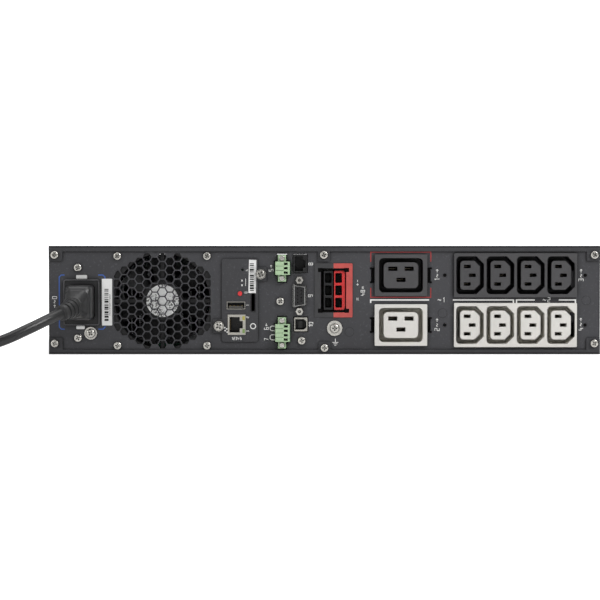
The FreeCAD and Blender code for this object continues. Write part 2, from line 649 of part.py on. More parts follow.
def terminal(label, z, ways):
    """Board header behind the panel and the screw plug that enters it."""
    tall = f"({ways}*terminal_pitch)"
    header = node(body(f"{label}_header"))
    add(header, terminal_outline(z, ways, "-0.1"), "-11", 0)
    cut(header, centred("terminal_x + 0.6", z, 6.4, f"{tall} - 1.6"), "-8.6", 0)
    plug = node(body(f"{label}_plug"))
    add(plug, terminal_outline(z, ways, 0), 0.05, "terminal_out - 3")
    add(plug, centred("terminal_x", z, "terminal_wide - 0.6", tall), "terminal_out - 3", "terminal_out")
    add(plug, centred("terminal_x + 0.6", z, 6, f"{tall} - 2"), "-8", 0.05)
    spots = [f"{z} + ({k} - ({ways} - 1)/2)*terminal_pitch" for k in range(ways)]
    cut(plug, [centred("terminal_x + 2.6", s, 3.1, 1.9) for s in spots], "-2", "terminal_out")
    grooves = [box("terminal_x - terminal_wide/2 - 0.1", f"{s} + terminal_pitch/2 - 0.15",
                   "terminal_x + 0.6", f"{s} + terminal_pitch/2 + 0.15") for s in spots[:-1]]
    cut(plug, grooves, "terminal_out - 0.4", "terminal_out")
    ears = [f"{z} + {s}*({tall}/2 + 2.7)" for s in (-1, 1)]
    cut(plug, [disc("ear_x", e, "screw_shank*0.7") for e in ears], 0.05, "terminal_out - 3")
    cut(header, [disc("ear_x", e, "screw_shank*0.7") for e in ears], "-6", 0)
    screws = [("ear_x", e, "terminal_out - 3") for e in ears]
    shapes = screw_shapes(screws, head=2.1, tall=1, shank="screw_shank*0.6", length=8, recess=False)
    fastener_node(f"{label}_plug_screws", shapes)


# ---- service ports --------------------------------------------------------------------------


def service_ports():
    board = node(body("service_board"))
    add(board, box("service_board_x", 9, "service_board_x + service_board", 80), "-service_board_long", "-3")
    jack = node(body("battery_signal_jack", "jack_x", "jack_z"))
    add(jack, centred(0, 0, "jack_wide", "jack_tall"), "-jack_deep", 0.8)
    cut(jack, corner_loop([(-4.3, -5.9, 0), (2.2, -5.9, 0), (2.2, -3.2, 0), (4.3, -3.2, 0),
                           (4.3, 3.2, 0), (2.2, 3.2, 0), (2.2, 5.9, 0), (-4.3, 5.9, 0)]), "-12", 0.8)
    shell = node(body("serial_port_shell", "serial_x", "serial_z"))
    add(shell, centred(0, 0, 11.8, 30.8, 1), "-panel - 0.8", "-panel")
    add(shell, serial_outline(0, 0, 8.6, 16.9), "-panel", 4.6)
    cut(shell, serial_outline(0, 0, 7.8, 16.1), "-panel - 0.8", 4.6)
    cut(shell, [disc(0, f"{s}*serial_screw", "screw_shank + 0.05") for s in (-1, 1)],
        "-panel - 0.8", "-panel")
    insert = node(body("serial_port_insert", "serial_x", "serial_z"))
    add(insert, serial_outline(0, 0, 7.7, 16), "-10", 4.4)
    pins = [disc(-1.42, f"{k}*serial_pin", 0.55) for k in (-2, -1, 0, 1, 2)]
    pins += [disc(1.42, f"{k}*serial_pin", 0.55) for k in (-1.5, -0.5, 0.5, 1.5)]
    cut(insert, pins, "-3", 4.4)
    standoffs = []
    for side in (-1, 1):
        z = side * value("serial_screw")
        points = [FreeCAD.Vector(3.1 * cos(k * pi / 3), 0, z + 3.1 * sin(k * pi / 3)) for k in range(7)]
        nut = Part.Face(Part.makePolygon(points)).extrude(FreeCAD.Vector(0, -4.2, 0))
        nut = nut.cut(outward_cylinder(0, z, 0.5, 4.2, 1.25))
        standoffs.append(nut.fuse(outward_cylinder(0, z, -6, 0, value("screw_shank"))))
    node(solid("serial_standoffs", Part.makeCompound(standoffs), on_panel("serial_x", "serial_z")))
    usb = node(body("usb_device_port", "usb_x", "usb_z"))
    add(usb, centred(0, 0, "usb_wide", "usb_tall", 0.6), "-14", 0.6)
    cut(usb, corner_loop([(-4.5, -4.2, 0), (2.6, -4.2, 0), (4.5, -2.4, 0), (4.5, 2.4, 0), (2.6, 4.2, 0),
                          (-4.5, 4.2, 0)]), "-11", 0.6)
    add(usb, centred("-0.4", 0, 3.2, 5.6), "-11", "-1")


# ---- battery connector ------------------------------------------------------------------------


def battery_connector():
    bezel = node(body("battery_port_bezel", "battery_x", "battery_z"))
    add(bezel, centred(0, 0, "battery_bezel_wide", "battery_bezel_tall", 0.8), 0, 0.5)
    cut(bezel, centred(0, 0, "battery_open_wide", "battery_open_tall", 0.8), 0, 0.5)
    cells = [f"{k}*battery_cell" for k in (-1, 0, 1)]
    for label, shift, wide in (("battery_port_black", "-battery_block/2 - 0.5", 0),
                               ("battery_port_red", "battery_block/2 + 0.5", "battery_wall")):
        block = node(body(label, f"battery_x + {shift}", "battery_z"))
        add(block, box("-battery_block/2", "-1.5*battery_cell - 0.8", f"battery_block/2 + {wide}",
                       "1.5*battery_cell + 0.8", 0.6), "-24", "-0.8")
        cut(block, [centred(0, z, "battery_block - 1.8", "battery_cell - 2", 0.8) for z in cells],
            "-19", "-0.8")


# ---- outlets ------------------------------------------------------------------------------------


def large_outlet(label, z):
    made = node(body(label, "large_x", z))
    add(made, centred(0, 0, "large_wide", "large_tall", "outlet_corner"), 0, "outlet_rim")
    add(made, centred(0, 0, "large_wide - 3.8", "large_tall - 3.8", 2), "-outlet_deep", 0)
    cut(made, [centred(0, 0, "large_groove_wide", "large_groove_tall", 3.6),
               centred(0, 0, "large_core_wide", "large_core_tall", 3.6)], "-groove_deep", "outlet_rim")
    slots = [centred(x, up, "large_slot_long", "large_slot_tall")
             for x, up in ((-6.5, 5.2), (6.5, 5.2), (0, -3.6))]
    cut(made, slots, "-outlet_deep + 3", "outlet_rim")
    return made


def outlet_bank(label, z):
    made = node(body(label, "bank_x", z))
    add(made, centred(0, 0, "bank_wide", "bank_tall", "outlet_corner"), 0, "outlet_rim")
    add(made, centred(0, 0, "bank_wide - 4.4", "bank_tall - 3.8", 2), "-outlet_deep", 0)
    spots = [f"{k}*small_pitch" for k in (-1.5, -0.5, 0.5, 1.5)]
    for x in spots:
        cut(made, [keyed(x, 0, "small_groove_wide", "small_groove_tall", 3.4, 6),
                   keyed(x, 0, "small_core_wide", "small_core_tall", 2.6, 4.4)],
            "-groove_deep", "outlet_rim")
    for x in spots:
        slots = [centred(f"{x} + {across}", up, "slot_long", "slot_tall")
                 for across, up in ((-2.2, 7), (-2.2, -7), (1.8, 0))]
        cut(made, slots, "-outlet_deep + 3", "outlet_rim")
    return made


def socket_contacts():
    """Metal contacts of the inlet, the battery connector and the outlets."""
    made = node(body("socket_contacts"))
    add(made, blade_outlines("inlet_x", "inlet_z", 0), "-inlet_deep - 6", "-4")
    add(made, [centred(f"battery_x + {side}*(0.5 + battery_block/2)", f"battery_z + {k}*battery_cell", 2, 5)
               for side in (-1, 1) for k in (-1, 0, 1)], "-19", "-contact_depth")
    for z in ("upper_z", "lower_z"):
        add(made, [centred(f"large_x + {x}", f"{z} + {up}", 6.6, 1) for x, up in
                   ((-6.5, 5.2), (6.5, 5.2), (0, -3.6))], "-outlet_deep + 3", "-contact_depth")
        for k in (-1.5, -0.5, 0.5, 1.5):
            x = f"bank_x + {k}*small_pitch"
            add(made, [centred(f"{x} - 2.2", f"{z} + 7", 4.8, 0.8),
                       centred(f"{x} - 2.2", f"{z} - 7", 4.8, 0.8),
                       centred(f"{x} + 1.8", z, 4.8, 0.8)], "-outlet_deep + 3", "-contact_depth")
    return made


def status_lenses():
    made = node(body("status_lenses"))
    add(made, [disc(x, z, "lens") for x, z in LENSES], "-4", 0.3)
    return made


# ---- power electronics -------------------------------------------------------------------------


def power_electronics():
    board = node(body("power_board", y=0))
    add(board, box(-212, "-rear + 34", 212, -46), 5, 6.6, "XY_Plane")
    posts = [disc(x, y, 2.4) for x in (-190, -60, 70, 196) for y in (-250, -70)]
    add(board, posts, "sheet", 5, "XY_Plane")
    sinks = node(body("heatsinks", y=0))
    for x in (-170, -70):
        add(sinks, box(x, -214, x + 66, -64), 6.6, 12.6, "XY_Plane")
        fin = add(sinks, box(x, -214, x + 1.6, -64), 12.6, 66, "XY_Plane")
        row(sinks, fin, "X_Axis", 64.4, 10)
    cans = node(body("bulk_capacitors", y=0))
    spots = [disc(30 + 34 * i, -222 + 36 * j, 15) for i in (0, 1) for j in (0, 1, 2, 3)]
    add(cans, spots, 6.6, 60, "XY_Plane")
    rings = [Part.makeTorus(20, 9.5, FreeCAD.Vector(130, y, 16.1)) for y in (-225, -160, -95)]
    node(solid("power_inductors", Part.makeCompound(rings)))
    relays = node(body("transfer_relays", y=0))
    spots = [box(172, -240 + 30 * k, 200, -218 + 30 * k) for k in range(6)]
    add(relays, spots, 6.6, 32, "XY_Plane")
    control = node(body("control_board", y=0))
    add(control, box(100, -30, 205, 235), 8, 9.6, "XY_Plane")
    chips = [box(115, 10, 150, 45), box(160, 60, 185, 120), box(118, 130, 140, 152)]
    add(control, chips, 9.6, 14, "XY_Plane")
    add(control, [disc(x, y, 2.4) for x in (110, 195) for y in (-20, 225)], "sheet", 8, "XY_Plane")


def wiring_loom():
    """Battery leads from the rear socket and feeds to the outlets."""
    back = -value("rear")
    leads = []
    for x in (value("battery_x") - 4, value("battery_x") + 4):
        leads.append(tube([(x, back + 24.2, 60), (x, back + 30, 60), (x, back + 30, 8)], 2.4, 4))
    for x in (value("large_x"), value("bank_x") - 12, value("bank_x") + 24):
        leads.append(tube([(x, back + 26.2, 20), (x, back + 30, 20), (x, back + 30, 8)], 1.8, 3.5))
    return node(solid("wiring_loom", Part.makeCompound(leads)))


# ---- battery drawer ------------------------------------------------------------------------------


def battery_drawer():
    left, low = "tray_left", "tray_low"
    right = "(tray_left + tray_wide)"
    back = "(front - tray_long)"
    bay = node(body("battery_bay", y=0))
    add(bay, box(f"{left} - 2*sheet", f"{back} - 6", f"{right} + 2*sheet", "front - 3"),
        f"{low} - tray_gap - sheet", f"{low} - tray_gap", "XY_Plane")
    for a, b in ((f"{left} - 2*sheet", f"{left} - sheet"), (f"{right} + sheet", f"{right} + 2*sheet")):
        add(bay, box(a, f"{back} - 6", b, "front - 3"), "sheet", 78, "XY_Plane")
    add(bay, box(f"{left} - 2*sheet", f"{back} - 6", f"{right} + 2*sheet", f"{back} - 4.8"),
        "sheet", 78, "XY_Plane")
    tray = node(body("battery_tray", y=0))
    add(tray, box(left, back, right, "front - 3.5"), low, f"{low} + sheet", "XY_Plane")
    for a, b in ((left, f"{left} + sheet"), (f"{right} - sheet", right)):
        add(tray, box(a, back, b, "front - 3.5"), f"{low} + sheet", f"{low} + 50", "XY_Plane")
    for a, b in ((back, f"{back} + sheet"), ("front - 3.5 - sheet", "front - 3.5")):
        add(tray, box(left, a, right, b), f"{low} + sheet", f"{low} + 50", "XY_Plane")
    cells = node(body("battery_modules", y=0))
    spots = []
    for i in range(3):
        for j in range(2):
            x = f"{left} + sheet + 0.4 + {i}*(cell_wide + 0.4)"
            y = f"{back} + sheet + 0.3 + {j}*(cell_long + 0.4)"
            spots.append(box(x, y, f"{x} + cell_wide", f"{y} + cell_long", 2))
    add(cells, spots, f"{low} + sheet", f"{low} + sheet + cell_tall", "XY_Plane")
    return tray


def battery_cover():
    made = node(body("battery_cover", y="front + bezel_depth"))
    add(made, box("cover_left", "cover_low", "cover_right", "cover_top", 3), 0.2, "cover_thick")
    louvre = cut(made, box("cover_left + 14", "cover_low + 12", "cover_left + 17.2", "cover_top - 12", 1.5),
                 -1, "cover_thick + 1")
    row(made, louvre, "X_Axis", 264, 34)
    return made


# ---- front bezel and display pod ------------------------------------------------------------------


def front_bezel():
    made = node(body("front_bezel", y="front"))
    add(made, box("-width/2", 0, "width/2", "height", 4), "-bezel_depth", "-seam")
    cut(made, box("cover_left - 0.4", "cover_low - 0.4", "cover_right + 0.4", "cover_top + 0.4", 3.4),
        "-bezel_depth", "-seam")
    cut(made, disc("pod_x", "pod_z", "pod + pod_gap"), "-bezel_depth", "-bezel_depth + 12")
    cut(made, disc("pod_x", "pod_z", "neck + neck_gap"), "-bezel_depth", "-seam")
    cut(made, disc("power_key_x", "pod_z", "power_key + key_gap"), "-bezel_depth", "-seam")
    return made


def display_pod():
    """Round display housing whose neck turns in the bezel."""
    made = node(body("display_pod", "pod_x", "pod_z", "front + bezel_depth"))
    add(made, disc(0, 0, "pod"), 0.6, 11.4)
    add(made, disc(0, 0, "neck"), 11.4, "bezel_depth + 3")
    window = centred(0, 6, "window_wide + 0.2", "window_tall + 0.2", 2)
    cut(made, window, -1, 2.4)
    keys = [f"{k}*14" for k in (-1, 0, 1)]
    cut(made, [disc(x, -18, "key + key_gap") for x in keys], -1, 5.4)
    glass = node(body("display_window", "pod_x", "pod_z", "front + bezel_depth"))
    add(glass, centred(0, 6, "window_wide", "window_tall", 2), 0.9, 2.4)
    names = ("display_key_up", "display_key_down", "display_key_enter")
    for name, x in zip(names, keys):
        key = node(body(name, f"pod_x + {x}", "pod_z - 18", "front + bezel_depth"))
        add(key, disc(0, 0, "key"), -0.6, 3.9)
    power = node(body("power_button", "power_key_x", "pod_z", "front + bezel_depth"))
    add(power, disc(0, 0, "power_key"), -0.8, 20)


# ---- assembly ---------------------------------------------------------------------------------------


def build():
    fill_sheet()
    chassis_tray()
    top_cover()
    rear_panel()
    fastener_node("panel_screws", screw_shapes(PANEL_SCREWS + FAN_SCREWS))
    ground_screws()
    fan()
    inlet()
    power_plug()
    network_card()
    terminal("relay", "relay_z", 3)
    terminal("remote", "remote_z", 4)
    service_ports()
    battery_connector()
    large_outlet("large_outlet_black", "upper_z")
    large_outlet("large_outlet_grey", "lower_z")
    outlet_bank("outlet_bank_black", "upper_z")
    outlet_bank("outlet_bank_grey", "lower_z")
    socket_contacts()
    status_lenses()
    power_electronics()
    wiring_loom()
    battery_drawer()
    battery_cover()
    front_bezel()
    display_pod()
    doc.recompute()


def check():
    """Stop on a broken object, a sketch that did not solve or a pocket that removed nothing."""
    for item in doc.Objects:
        faults = [s for s in item.State if s in ("Invalid", "Error")]
        if faults:
            raise RuntimeError(f"{item.Label} {item.Name} is {faults}")
        if item.TypeId == "PartDesign::Pocket" and item.BaseFeature is not None:
            if item.BaseFeature.Shape.Volume - item.Shape.Volume < 1e-3:
                raise RuntimeError(f"{item.Name} cut nothing from {item.getParentGeoFeatureGroup().Label}")
    for made in nodes:
        if made.Shape.isNull() or not made.Shape.isValid():
            raise RuntimeError(f"{made.Label} has no valid shape")


def write():
    os.makedirs("parts", exist_ok=True)
    for made in nodes:
        made.Shape.exportStep(f"parts/{made.Label}.step")


build()
check()
write()
print(f"{len(nodes)} sub-parts written")
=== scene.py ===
import json
import math
import random
from collections import namedtuple

import bmesh
import bpy
from mathutils import Matrix, Vector


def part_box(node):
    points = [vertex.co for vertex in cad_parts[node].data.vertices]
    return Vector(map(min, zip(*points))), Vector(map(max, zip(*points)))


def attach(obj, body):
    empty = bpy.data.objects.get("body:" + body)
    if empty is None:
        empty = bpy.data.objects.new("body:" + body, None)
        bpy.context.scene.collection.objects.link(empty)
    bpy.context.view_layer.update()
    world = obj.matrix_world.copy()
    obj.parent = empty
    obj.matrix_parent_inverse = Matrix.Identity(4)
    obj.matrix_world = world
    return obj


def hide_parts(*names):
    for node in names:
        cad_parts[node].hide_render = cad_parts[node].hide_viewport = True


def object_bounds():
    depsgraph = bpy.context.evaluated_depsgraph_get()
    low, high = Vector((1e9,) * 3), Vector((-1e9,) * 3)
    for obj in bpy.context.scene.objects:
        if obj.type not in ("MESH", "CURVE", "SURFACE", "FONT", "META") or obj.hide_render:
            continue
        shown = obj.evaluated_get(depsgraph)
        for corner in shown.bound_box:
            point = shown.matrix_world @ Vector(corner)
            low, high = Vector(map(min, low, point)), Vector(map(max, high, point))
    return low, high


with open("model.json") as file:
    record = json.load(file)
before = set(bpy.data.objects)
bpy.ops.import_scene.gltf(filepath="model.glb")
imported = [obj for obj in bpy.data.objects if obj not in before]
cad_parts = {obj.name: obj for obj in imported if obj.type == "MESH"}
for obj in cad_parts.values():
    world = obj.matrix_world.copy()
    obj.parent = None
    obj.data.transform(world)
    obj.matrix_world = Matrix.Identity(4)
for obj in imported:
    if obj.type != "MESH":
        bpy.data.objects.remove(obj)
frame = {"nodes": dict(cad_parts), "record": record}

# Rackmount uninterruptible power supply. Metres; -Y is the socket side, +Z is up.

MM = 0.001
DISC_RISE = 0.0002      # how far the panel's pressed discs stand out
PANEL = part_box("rear_panel")[0].y + DISC_RISE   # outer face of the socket panel
cad_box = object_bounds()


# ---- materials ----------------------------------------------------------------------------


class Nodes:
    """Short way to write a material's node tree; patterns follow object coordinates."""

    def __init__(self, name):
        self.mat = bpy.data.materials.new(name)
        self.mat.use_nodes = True
        self.tree = self.mat.node_tree
        self.bsdf = self.tree.nodes["Principled BSDF"]
        self.coords = self.tree.nodes.new("ShaderNodeTexCoord").outputs["Object"]
        self.soft = None

    def add(self, kind, **values):
        """New shader node; values go to its inputs or else to its settings."""
        made = self.tree.nodes.new("ShaderNode" + kind)
        for key, val in values.items():
            if key in made.inputs:
                self.put(made.inputs[key], val)
            else:
                setattr(made, key, val)
        return made

    def put(self, socket, val):
        """Link an output or set a plain value."""
        if isinstance(val, bpy.types.NodeSocket):
            self.tree.links.new(val, socket)
        else:
            socket.default_value = val

    def set(self, **values):
        """Inputs of the main shader, spaces written as underscores."""
        for key, val in values.items():
            self.put(self.bsdf.inputs[key.replace("_", " ")], val)

    def noise(self, scale, detail=2.0, rough=0.5, vector=None):
        made = self.add("TexNoise", Scale=scale, Detail=detail, Roughness=rough)
        self.put(made.inputs["Vector"], vector or self.coords)
        return made.outputs["Fac"]

    def ramp(self, source, low, high, start=0.3, end=0.7):
        """Map start..end of the source to low..high."""
        made = self.add("MapRange")
        self.put(made.inputs["Value"], source)
        limits = {"From Min": start, "From Max": end, "To Min": low, "To Max": high}
        for key, val in limits.items():
            made.inputs[key].default_value = val
        return made.outputs["Result"]

    def mix(self, factor, a, b):
        """Colour a where the factor is 0, b where it is 1."""
        made = self.add("Mix", data_type="RGBA")
        self.put(made.inputs["Factor"], factor)
        self.put(made.inputs[6], a)
        self.put(made.inputs[7], b)
        return made.outputs[2]

    def maths(self, operation, a, b=0.0):
        made = self.add("Math", operation=operation)
        self.put(made.inputs[0], a)
        self.put(made.inputs[1], b)
        return made.outputs[0]

    def split(self):
        made = self.add("SeparateXYZ")
        self.put(made.inputs[0], self.coords)
        return made.outputs

    def bump(self, height, distance, strength=1.0, normal=None):
        made = self.add("Bump", Distance=distance, Strength=strength)
        self.put(made.inputs["Height"], height)
        if normal or self.soft:
            self.put(made.inputs["Normal"], normal or self.soft)
        self.put(self.bsdf.inputs["Normal"], made.outputs["Normal"])
        return made.outputs["Normal"]

    def edges(self, radius=0.0006):
        """1 on sharp edges, 0 on flats."""
        bevel = self.add("Bevel", Radius=radius)
        bevel.samples = 4
        self.soft = bevel.outputs["Normal"]
        geometry = self.add("NewGeometry")
        dot = self.add("VectorMath", operation="DOT_PRODUCT")
        self.put(dot.inputs[0], bevel.outputs["Normal"])
        self.put(dot.inputs[1], geometry.outputs["Normal"])
        return self.ramp(dot.outputs["Value"], 1.0, 0.0, 0.88, 0.995)

    def occlusion_shade(self, reach, start=0.35, end=0.9):
        """Mask for painted shade: 0 deep in a gap, 1 on open surfaces."""
        shade_node = self.add("AmbientOcclusion", Distance=reach)
        shade_node.samples = 6
        return self.ramp(shade_node.outputs["AO"], 0.0, 1.0, start, end)


def rgb(*levels):
    """Colour with full opacity."""
    return tuple(levels) + (1.0,)


def scaled(colour, factor):
    """Colour made lighter or darker by a factor."""
    return tuple(min(1.0, c * factor) for c in colour[:3]) + (1.0,)


def textured_paint(name, colour, rough=0.52, grain=1500, depth=0.00012, wear_and_highlight=0.25, fold_shade=None):
    """Powder coat, lighter on edges as wear and painted highlight and darker in gaps as painted shade;
    the last argument is a comparison and a height that mark a band of painted shade on the folded edge.
    """
    n = Nodes(name)
    fine = n.noise(grain, 3)
    broad = n.noise(9, 4)
    speck = n.noise(grain * 0.45, 1)
    base = n.mix(n.ramp(broad, 0.0, 1.0), scaled(colour, 0.9), scaled(colour, 1.12))
    base = n.mix(n.ramp(speck, 0.0, 0.4, 0.62, 0.75), base, scaled(colour, 2.1))
    # edges lightened: wear and painted highlight
    base = n.mix(n.maths("MULTIPLY", n.edges(0.0005), wear_and_highlight), base, scaled(colour, 2.6))
    # painted shade in gaps, creases and recesses
    base = n.mix(n.occlusion_shade(0.004, 0.42, 0.97), scaled(colour, 0.2), base)
    # painted shade on the folded edge: a darker band on faces that look out of the socket side
    if fold_shade:
        normal = n.add("SeparateXYZ")
        n.put(normal.inputs[0], n.add("NewGeometry").outputs["Normal"])
        facing = n.maths("LESS_THAN", normal.outputs["Y"], -0.7)
        band = n.maths(fold_shade[0], n.split()[2], fold_shade[1])
        base = n.mix(n.maths("MULTIPLY", facing, band), base, scaled(colour, 0.3))
    n.set(Base_Color=base, Roughness=n.ramp(broad, rough - 0.05, rough + 0.07), Specular_IOR_Level=0.4)
    n.bump(fine, depth, 0.7)
    return n.mat


def moulded(name, colour, rough=0.45, grain=2600, depth=0.00005, wear_and_highlight=0.2, sheen=0.0, reach=0.003,
            dark=0.3, shine=0.45):
    """Injection-moulded plastic or rubber, lighter on edges as wear and painted highlight, and darker in
    gaps as painted shade.
    """
    n = Nodes(name)
    fine = n.noise(grain, 2)
    broad = n.noise(28, 3)
    base = n.mix(n.ramp(broad, 0.0, 1.0), scaled(colour, 0.92), scaled(colour, 1.08))
    # edges lightened: wear and painted highlight
    base = n.mix(n.maths("MULTIPLY", n.edges(0.0004), wear_and_highlight), base, scaled(colour, 2.2))
    # painted shade in gaps and recesses; dark sets how dark it gets
    base = n.mix(n.occlusion_shade(reach), scaled(colour, dark), base)
    n.set(Base_Color=base, Roughness=n.ramp(broad, rough - 0.05, rough + 0.08),
          Specular_IOR_Level=shine, Coat_Weight=sheen)
    n.bump(fine, depth, 0.6)
    return n.mat


def plated(name, colour, rough=0.24, scratch=0.25, brushed=0.0, reach=0.0016):
    """Bare or plated metal; brushed is how far the grain is squeezed along z."""
    n = Nodes(name)
    broad = n.noise(60, 4)
    fine = n.noise(900, 3)
    base = n.mix(n.ramp(broad, 0.0, 1.0), scaled(colour, 0.82), scaled(colour, 1.08))
    base = n.mix(n.ramp(fine, 0.0, scratch, 0.55, 0.8), base, scaled(colour, 0.45))
    # painted shade in gaps and recesses of the metal
    base = n.mix(n.occlusion_shade(reach, 0.45, 0.95), scaled(colour, 0.06), base)
    n.set(Base_Color=base, Metallic=1.0, Roughness=n.ramp(fine, rough - 0.06, rough + 0.12))
    if brushed:
        stretch = n.add("Mapping")
        n.put(stretch.inputs["Vector"], n.coords)
        stretch.inputs["Scale"].default_value = (12, 12, brushed)
        fine = n.noise(8, 4, 0.6, stretch.outputs["Vector"])
    n.bump(fine, 0.00005, 0.5)
    return n.mat


def printed(name, colour, rough=0.5):
    """Screen-printed ink with slight thin spots."""
    n = Nodes(name)
    thin = n.noise(1400, 3)
    base = n.mix(n.ramp(thin, 0.0, 0.35, 0.55, 0.8), colour, scaled(colour, 0.6))
    n.set(Base_Color=base, Roughness=rough)
    n.bump(thin, 0.00002, 0.5)
    return n.mat


def board_material(name, colour):
    """Lacquered circuit board with faint tracks."""
    n = Nodes(name)
    tracks = n.add("TexBrick", Scale=160.0)
    n.put(tracks.inputs["Vector"], n.coords)
    tracks.inputs["Mortar Size"].default_value = 0.05
    tone = n.noise(40, 3)
    base = n.mix(n.ramp(tone, 0.0, 1.0), scaled(colour, 0.8), scaled(colour, 1.2))
    base = n.mix(n.ramp(tracks.outputs["Fac"], 0.0, 0.6, 0.0, 1.0), base, scaled(colour, 2.0))
    n.set(Base_Color=base, Roughness=0.35, Coat_Weight=0.4)
    n.bump(tracks.outputs["Fac"], 0.0001, 0.4)
    return n.mat


def lined_port(name, metal, lining, rim):
    """Metal rim with a dark moulded inside deeper than the rim."""
    n = Nodes(name)
    x, y, z = n.split()
    deep = n.ramp(y, 0.0, 1.0, rim + 0.0002, rim + 0.0011)
    grain = n.noise(1100, 3)
    base = n.mix(n.ramp(grain, 0.0, 0.4), metal, scaled(metal, 0.6))
    n.set(Base_Color=n.mix(deep, base, lining), Metallic=n.maths("SUBTRACT", 1.0, deep),
          Roughness=n.ramp(grain, 0.26, 0.42))
    n.bump(grain, 0.00004, 0.4)
    return n.mat


def outlet_material(name, colour, groove, rim):
    """Moulded outlet whose groove takes the groove colour with depth below the rim, painted shade in the
    black outlets and painted light in the grey ones; edges lightened as wear and painted highlight.
    """
    n = Nodes(name)
    x, y, z = n.split()
    deep = n.ramp(y, 0.0, 1.0, rim + 0.0003, rim + 0.007)
    grain, tone = n.noise(2000, 2), n.noise(28, 3)
    base = n.mix(n.ramp(tone, 0.0, 1.0), scaled(colour, 0.94), scaled(colour, 1.05))
    base = n.mix(n.maths("MULTIPLY", n.edges(0.0004), 0.15), base, scaled(colour, 1.8))
    n.set(Base_Color=n.mix(deep, base, groove), Roughness=n.ramp(tone, 0.42, 0.55),
          Specular_IOR_Level=0.45)
    n.bump(grain, 0.00006, 0.6)
    return n.mat


def port_label_material(split_x):
    """Printed film: dark grey on the left and red on the right."""
    n = Nodes("port_film")
    x, y, z = n.split()
    side = n.maths("GREATER_THAN", x, split_x)
    grain = n.noise(2200, 2)
    tone = n.noise(120, 3)
    base = n.mix(side, rgb(0.046, 0.046, 0.049), rgb(0.56, 0.085, 0.075))
    base = n.mix(n.ramp(tone, 0.0, 0.25), base, rgb(0.02, 0.02, 0.02))
    n.set(Base_Color=base, Roughness=0.42)
    n.bump(grain, 0.00003, 0.6)
    return n.mat


def glass_material():
    """Dark display window with smudges."""
    n = Nodes("window_glass")
    smudge = n.noise(30, 5)
    n.set(Base_Color=rgb(0.02, 0.025, 0.03), Roughness=n.ramp(smudge, 0.04, 0.16), Coat_Weight=0.6,
          Specular_IOR_Level=0.6)
    n.bump(smudge, 0.00001, 0.3)
    return n.mat


def glow_material(name, colour, strength):
    """Lit lamp or display."""
    n = Nodes(name)
    tone = n.noise(300, 2)
    n.set(Base_Color=n.mix(n.ramp(tone, 0.0, 0.3), colour, scaled(colour, 0.7)), Emission_Color=colour,
          Emission_Strength=strength, Roughness=0.3)
    return n.mat


def hub_label_material():
    """Silver film with patches of small printed marks."""
    n = Nodes("hub_film")
    small = n.noise(650, 1)
    patch = n.noise(90, 1)
    amount = n.maths("MULTIPLY", n.ramp(small, 0.0, 1.0, 0.5, 0.54), n.ramp(patch, 0.0, 0.85, 0.42, 0.5))
    n.set(Base_Color=n.mix(amount, rgb(0.95, 0.95, 0.94), rgb(0.06, 0.06, 0.06)), Roughness=0.32,
          Metallic=0.25)
    n.bump(n.noise(500, 2), 0.00003, 0.4)
    return n.mat


CHARCOAL = (0.047, 0.047, 0.052)
# near-black ink painted as the shadow of the pressed rings around the panel's discs
ring_shadow = printed("pressed_ring_shade", rgb(0.016, 0.016, 0.018), 0.6)
case_paint = textured_paint("case_paint", CHARCOAL)
FOLD_SHADE = 1.5 * MM         # height of the band of painted shade where the sheet is folded
LIP = (0.038, 0.038, 0.042)
cover_paint = textured_paint("cover_paint", LIP, fold_shade=("GREATER_THAN", cad_box[1][2] - FOLD_SHADE))
tray_paint = textured_paint("tray_paint", LIP, fold_shade=("LESS_THAN", FOLD_SHADE))
card_paint = textured_paint("card_paint", (0.043, 0.043, 0.047), rough=0.5)
bezel_plastic = moulded("bezel_plastic", (0.026, 0.026, 0.029), 0.5, 1400, 0.0001)
black_plastic = moulded("black_plastic", (0.012, 0.012, 0.013), 0.4)
fan_plastic = moulded("fan_plastic", (0.008, 0.008, 0.009), 0.55, wear_and_highlight=0.1)
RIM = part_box("large_outlet_black")[0].y
# groove colours: the near-black is painted shade, the pale grey is painted light that lifts the groove's
# real shade
outlet_black = outlet_material("outlet_black_plastic", (0.062, 0.061, 0.064),
                               rgb(0.008, 0.008, 0.008), RIM)
outlet_grey = outlet_material("outlet_grey_plastic", (0.67, 0.655, 0.62), rgb(0.8, 0.78, 0.72), RIM)
# near-black with almost no shine, used as painted shade in openings, throats and slots
shade_black = moulded("shade_black_plastic", (0.003, 0.003, 0.003), 0.6, wear_and_highlight=0.05, shine=0.04)
# lighter grey with strong edge lightening: painted highlight on the inlet's rim
rim_highlight_grey = moulded("rim_highlight_grey", (0.085, 0.085, 0.09), 0.35, wear_and_highlight=0.4)
cord_rubber = moulded("cord_rubber", (0.023, 0.023, 0.024), 0.3, 900, 0.00006, wear_and_highlight=0.15, reach=0.0015)
plug_rubber = moulded("plug_rubber", (0.034, 0.034, 0.035), 0.36, 900, 0.00006, wear_and_highlight=0.25, reach=0.0015)
terminal_green = moulded("terminal_green", (0.38, 0.53, 0.33), 0.4, wear_and_highlight=0.1, reach=0.0015)
connector_red = moulded("connector_red", (0.62, 0.03, 0.03), 0.32, wear_and_highlight=0.1, sheen=0.2)
red_button = moulded("red_button", (0.60, 0.03, 0.035), 0.3, sheen=0.3)
key_plastic = moulded("key_plastic", (0.07, 0.07, 0.075), 0.4)
battery_case = moulded("battery_case", (0.05, 0.05, 0.055), 0.5, 1200, 0.0001)
nickel = plated("nickel", (0.75, 0.73, 0.68), 0.2, 0.5)
clip_steel = plated("clip_steel", (0.84, 0.84, 0.83), 0.34, 0.1)
port_steel = plated("port_steel", (0.62, 0.62, 0.61), 0.3)
zinc_steel = plated("zinc_steel", (0.58, 0.59, 0.60), 0.36, brushed=300)
